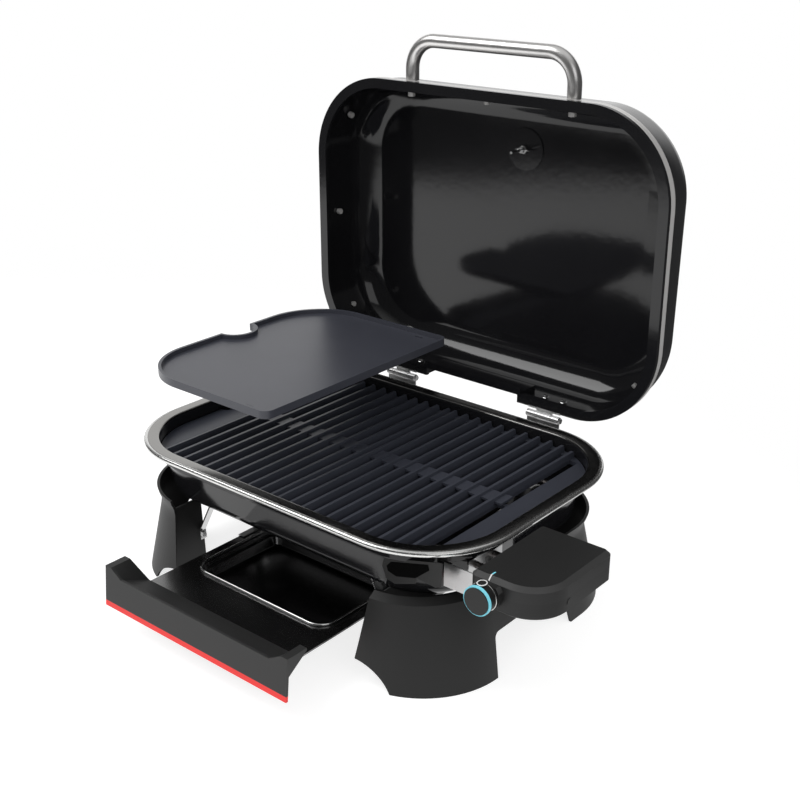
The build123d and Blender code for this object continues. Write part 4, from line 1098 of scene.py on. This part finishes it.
# %% Outline of the legs
# Each level has its height, half length, half depth and corner radius
leg_levels = np.array([
    (0, 273.5, 201, 113),
    (88, 255.5, 186, 102),
    (98, 254.6, 184.6, 102),
    (106, 256.2, 185.2, 104),
    (113, 260, 188, 108),
    (118, 262, 189, 110),
]) * mm
low_levels = np.array([
    (0, 273.5, 201, 113),
    (105, 252, 183, 100),
    (112, 244, 175, 92),
]) * mm
leg_wall = 3.5 * mm
leg_steps = 24


def outline_at(level, inset):
    """The outline of one level, moved in by an inset."""
    height, half_x, half_y, radius = level
    loop = rounded_loop(half_x - inset, half_y - inset, radius - inset, leg_steps)
    return carried(loop, np.array([(0, height)]))[:, 0]


def leg_shell(levels):
    """The wall of a leg frame, all the way round: up the outside and down the inside."""
    outside = [outline_at(level, 0) for level in levels]
    inside = [outline_at(level, leg_wall) for level in levels[::-1]]
    grid = np.stack(outside + inside)
    return grid, quads(*grid.shape[:2])


print("the legs are drawn from", len(leg_levels), "outlines")

# %% [markdown]
# Seen through the toes and the gap, the inside of a leg is nearly black. The studio light would show it
# pale, so the shade is painted: each face that looks into the hollow gets a near-black finish.

# %% Painted shade inside a leg
hollow_half = 60 * mm
least_inward = -0.2


def paint_hollow_shade(made, middle_x):
    """Paint shade on the faces that look into the leg's hollow: give them a near-black finish.

    A face looks inwards when its normal points against the way from the leg's middle
    line to the face.
    """
    mesh = made.data
    count = len(mesh.polygons)
    normal, centre = np.empty(count * 3), np.empty(count * 3)
    mesh.polygons.foreach_get("normal", normal)
    mesh.polygons.foreach_get("center", centre)
    normal, centre = normal.reshape(-1, 3), centre.reshape(-1, 3)
    middle_y = np.clip(centre[:, 1], -hollow_half, hollow_half)
    reach = centre[:, :2] - np.stack([np.full(count, middle_x), middle_y], axis=1)
    inward = (normal[:, :2] * reach).sum(axis=1) < least_inward * np.linalg.norm(reach, axis=1)
    mesh.materials.append(painted_shade_black)
    mesh.polygons.foreach_set("material_index", np.where(inward, len(mesh.materials) - 1, 0))


# %% [markdown]
# Three things are cut out of each frame: the gap for the tray, the arched toes and the way
# under each end. The two frames mirror each other, but the right one reaches a little
# nearer to the tray.

# %% Leg frames
gap_low, gap_high = 154.5 * mm, 167.5 * mm
gap_foot, gap_top = 25 * mm, 119 * mm
wide, deep, tall = 0.4, 0.3, 0.2
right_shift = 4.5 * mm
hollow_x = 150 * mm
gap = np.array([
    (-wide, -cut_over),
    (gap_low, -cut_over),
    (gap_low, gap_foot),
    (gap_high, gap_top),
    (gap_high, tall),
    (-wide, tall),
])
toe_middle, toe_radius = (153.6 * mm, -23.9 * mm), 51.9 * mm
toe = circle(96) * toe_radius + toe_middle
arch_start, arch_foot, arch_top = 0.2, -10 * mm, 52 * mm
arch = rounded_line(
    [
        (-89 * mm, arch_foot),
        (-89 * mm, 0),
        (-83 * mm, arch_top),
        (55 * mm, arch_top),
        (63 * mm, 0),
        (63 * mm, arch_foot),
    ],
    [1 * mm, 8 * mm, 8 * mm, 1 * mm],
)
front_half = plank((-wide, -deep, -cut_over), (wide, 0, tall))
back_half = plank((-wide, 0, -cut_over), (wide, deep, tall))
for side, name, levels, replaced, halves in (
    (-1, "left_leg_moulding", leg_levels, ["left_leg_frame"], []),
    (1, "right_leg_moulding", leg_levels, ["right_leg_frame"], [front_half]),
    (1, "front_leg_moulding", low_levels, [], [back_half]),
):
    leg = piece(name, leg_shell(levels), black_plastic, "root", replaced=replaced)
    own_gap = (gap - (right_shift * (side > 0), 0)) * (side, 1)
    cuts = [
        prism(own_gap, -deep, deep, 1),
        prism(toe * (side, 1), -deep, deep, 1),
        prism(arch, side * arch_start, side * wide, 0),
    ]
    cut_away(leg, cuts + halves)
    paint_hollow_shade(leg, side * hollow_x)

# %% [markdown]
# A shelf closes the top of the front leg on the right, under the controls, and a narrow
# return stiffens each edge beside the gap for the tray.

# %% Shelf of the front leg
shelf_top, shelf_thick, shelf_wide = 108 * mm, 2 * mm, 24 * mm
shelf_front, shelf_end = -110 * mm, 214 * mm
shelf = piece(
    "front_leg_shelf",
    ring(
        rounded_loop(247 * mm, 178 * mm, 95 * mm, leg_steps),
        np.array([
            (0, shelf_top - shelf_thick),
            (0, shelf_top),
            (shelf_wide, shelf_top),
            (shelf_wide, shelf_top - shelf_thick),
        ]),
    ),
    rubber,
    "root",
)
cut_away(shelf, [
    plank((-wide, -deep, 0), (gap_high, deep, tall)),
    plank((0, shelf_front, 0), (wide, deep, tall)),
    plank((shelf_end, -deep, 0), (wide, deep, tall)),
])

# %% Returns beside the gap
return_foot, return_top, return_in = 28.5 * mm, 106 * mm, 2 * mm
for side, name in ((-1, "left_leg_frame"), (1, "right_leg_frame")):
    for back, end in ((-1, "front"), (1, "back")):
        edge = np.array([
            (gap_low, back * 196 * mm, return_foot),
            (gap_low, back * 146 * mm, return_foot),
            (gap_high - return_in, back * 140 * mm, return_top),
            (gap_high - return_in, back * 181 * mm, return_top),
        ]) - (right_shift * (side > 0), 0, 0)
        both_sides = np.stack([edge, edge + (leg_wall, 0, 0)]) * (side, 1, 1)
        walls = quads(2, len(edge), closed_rows=False)
        piece(
            f"{name}_return_{end}",
            (both_sides, [*walls, range(4), range(4, 8)]),
            black_plastic,
            "root",
        )

# %% [markdown]
# Under its bars each grate has one flat cross rib, which ties the bars together and shows
# between them as a row of paler patches. It stops short of the plate at the outer end.

# %% Cross ribs of the grates
rib_front, rib_wide, rib_drop, rib_thick = -8 * mm, 24 * mm, 3 * mm, 3 * mm
rib_outer, rib_inner = 44 * mm, 10 * mm
for name, left_end, right_end in (
    ("left_grate", rib_outer, rib_inner),
    ("right_grate", rib_inner, rib_outer),
):
    grate_low, grate_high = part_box(name)
    rib_top = grate_high[2] - rib_drop
    rib = plank(
        (grate_low[0] + left_end, rib_front, rib_top - rib_thick),
        (grate_high[0] - right_end, rib_front + rib_wide, rib_top),
    )
    piece(f"{name}_rib", rib, cast_grate, name)

# %% [markdown]
# A few small marks finish the controls: the bright line round the foot of the knob, the
# white oval on its pointer, and the blue end of the index mark on the housing.

# %% Marks on the controls
knob_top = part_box("knob")[1][2]
ring_low, ring_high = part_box("knob_ring")
knob_x = (ring_low[0] + ring_high[0]) / 2
knob_z = (ring_low[2] + ring_high[2]) / 2
skirt_radius, skirt_line, skirt_y = 16 * mm, 0.55 * mm, ring_high[1] + 9.5 * mm
oval_half_x, oval_half_y, oval_line, oval_y = 4.9 * mm, 5.6 * mm, 0.6 * mm, ring_high[1] + 6 * mm
turn = np.linspace(0, 2 * np.pi, 49)
skirt = np.stack([
    knob_x + skirt_radius * np.cos(turn),
    np.full(len(turn), skirt_y),
    knob_z + skirt_radius * np.sin(turn),
], axis=1)
piece("knob_skirt", pipe(skirt, skirt_line, (0, 1, 0), sides=10), bead_steel, "knob")
oval = np.stack([
    knob_x + oval_half_x * np.cos(turn),
    oval_y + oval_half_y * np.sin(turn),
    np.full(len(turn), knob_top),
], axis=1)
piece("knob_oval", pipe(oval, oval_line, (0, 0, 1), sides=8), white_plastic, "knob")

mark_low, mark_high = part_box("index_mark")
mark_wrap, mark_end_long, mark_end_thick = 0.1 * mm, 5.5 * mm, 0.3 * mm
mark_end = plank(
    (mark_low[0] - mark_wrap, mark_high[1] - mark_end_long, mark_high[2] - mark_end_thick),
    (mark_high[0] + mark_wrap, mark_high[1] + mark_wrap, mark_high[2] + mark_wrap),
)
piece("mark_end", mark_end, blue_plastic, "root")

# %% [markdown]
# At the front right corner of the cook box stands a black plate with a sunk pocket. Both are outlines
# seen from the front, and the pocket's shade is painted as a dead black skin on the plate.

# %% Corner pocket
pocket_y, plate_thick, skin_thick = -168 * mm, 1.5 * mm, 0.3 * mm
plate_outline = np.array([
    (167.9, 142.2), (170.8, 152.8), (244.3, 173.5), (251.2, 174.7), (250.1, 146.4),
    (242.3, 142.7), (216.8, 144.6), (215.2, 136.9), (186.2, 125.8), (173.4, 128.1),
]) * mm
pocket_shade_outline = np.array([
    (174.5, 144.6), (180.8, 151.7), (232.5, 166.9), (234.3, 160.7),
    (215.2, 144.0), (188.1, 136.1), (176.2, 138.8),
]) * mm
pocket_plate = prism(plate_outline, pocket_y, pocket_y + plate_thick, 1)
# The pocket's shade is painted: a dead black skin instead of a real recess
pocket_painted_shade = prism(pocket_shade_outline, pocket_y - skin_thick, pocket_y, 1)
piece("pocket_plate", pocket_plate, black_plastic, "root")
piece("pocket_painted_shade", pocket_painted_shade, painted_shade_black, "root")

# %% [markdown]
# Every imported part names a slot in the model's record, such as cast_grate. One list gives
# each slot its finish, and a second gives a few parts a finish of their own.

# %% Give every part its finish
finishes = {
    "black_enamel": black_enamel,
    "cast_grate": cast_grate,
    "cast_griddle": cast_griddle,
    "black_plastic": black_plastic,
    "fascia_plastic": fascia_plastic,
    "red_stripe": red_plastic,
    "steel": sheet_steel,
    "bright_steel": bright_steel,
    "dark_steel": dark_satin,
    "pan_steel": pan_satin,
    "knob_blue": blue_plastic,
    "white_mark": white_plastic,
    "dial_face": dial_white,
    "needle_red": needle_red,
    "lens_glass": glass.material,
    "element_sheath": sheath,
    "brass_part": brass,
    "rubber_part": rubber,
    "board": rubber,
}
special = {
    "lid_handle": handle_steel,
    "lid_dome": lid_enamel,
    "lid_rim": black_enamel,
    "lid_trim": trim_band,
    "tray_plate": tray_satin,
    "control_upper": control_plastic,
}
slots = {part["node"]: part["material_slot"] for part in frame["record"]["subparts"]}
for name, part in nodes.items():
    finish = special.get(name) or finishes[slots[name]]
    part.data.materials.clear()
    part.data.materials.append(finish)
print(len(nodes), "parts finished")

# %% [markdown]
# Colours go to the picture as they are, without a film curve, so that white stays white.

# %% Colour management
bpy.context.scene.view_settings.view_transform = "Standard"
print("view transform:", bpy.context.scene.view_settings.view_transform)
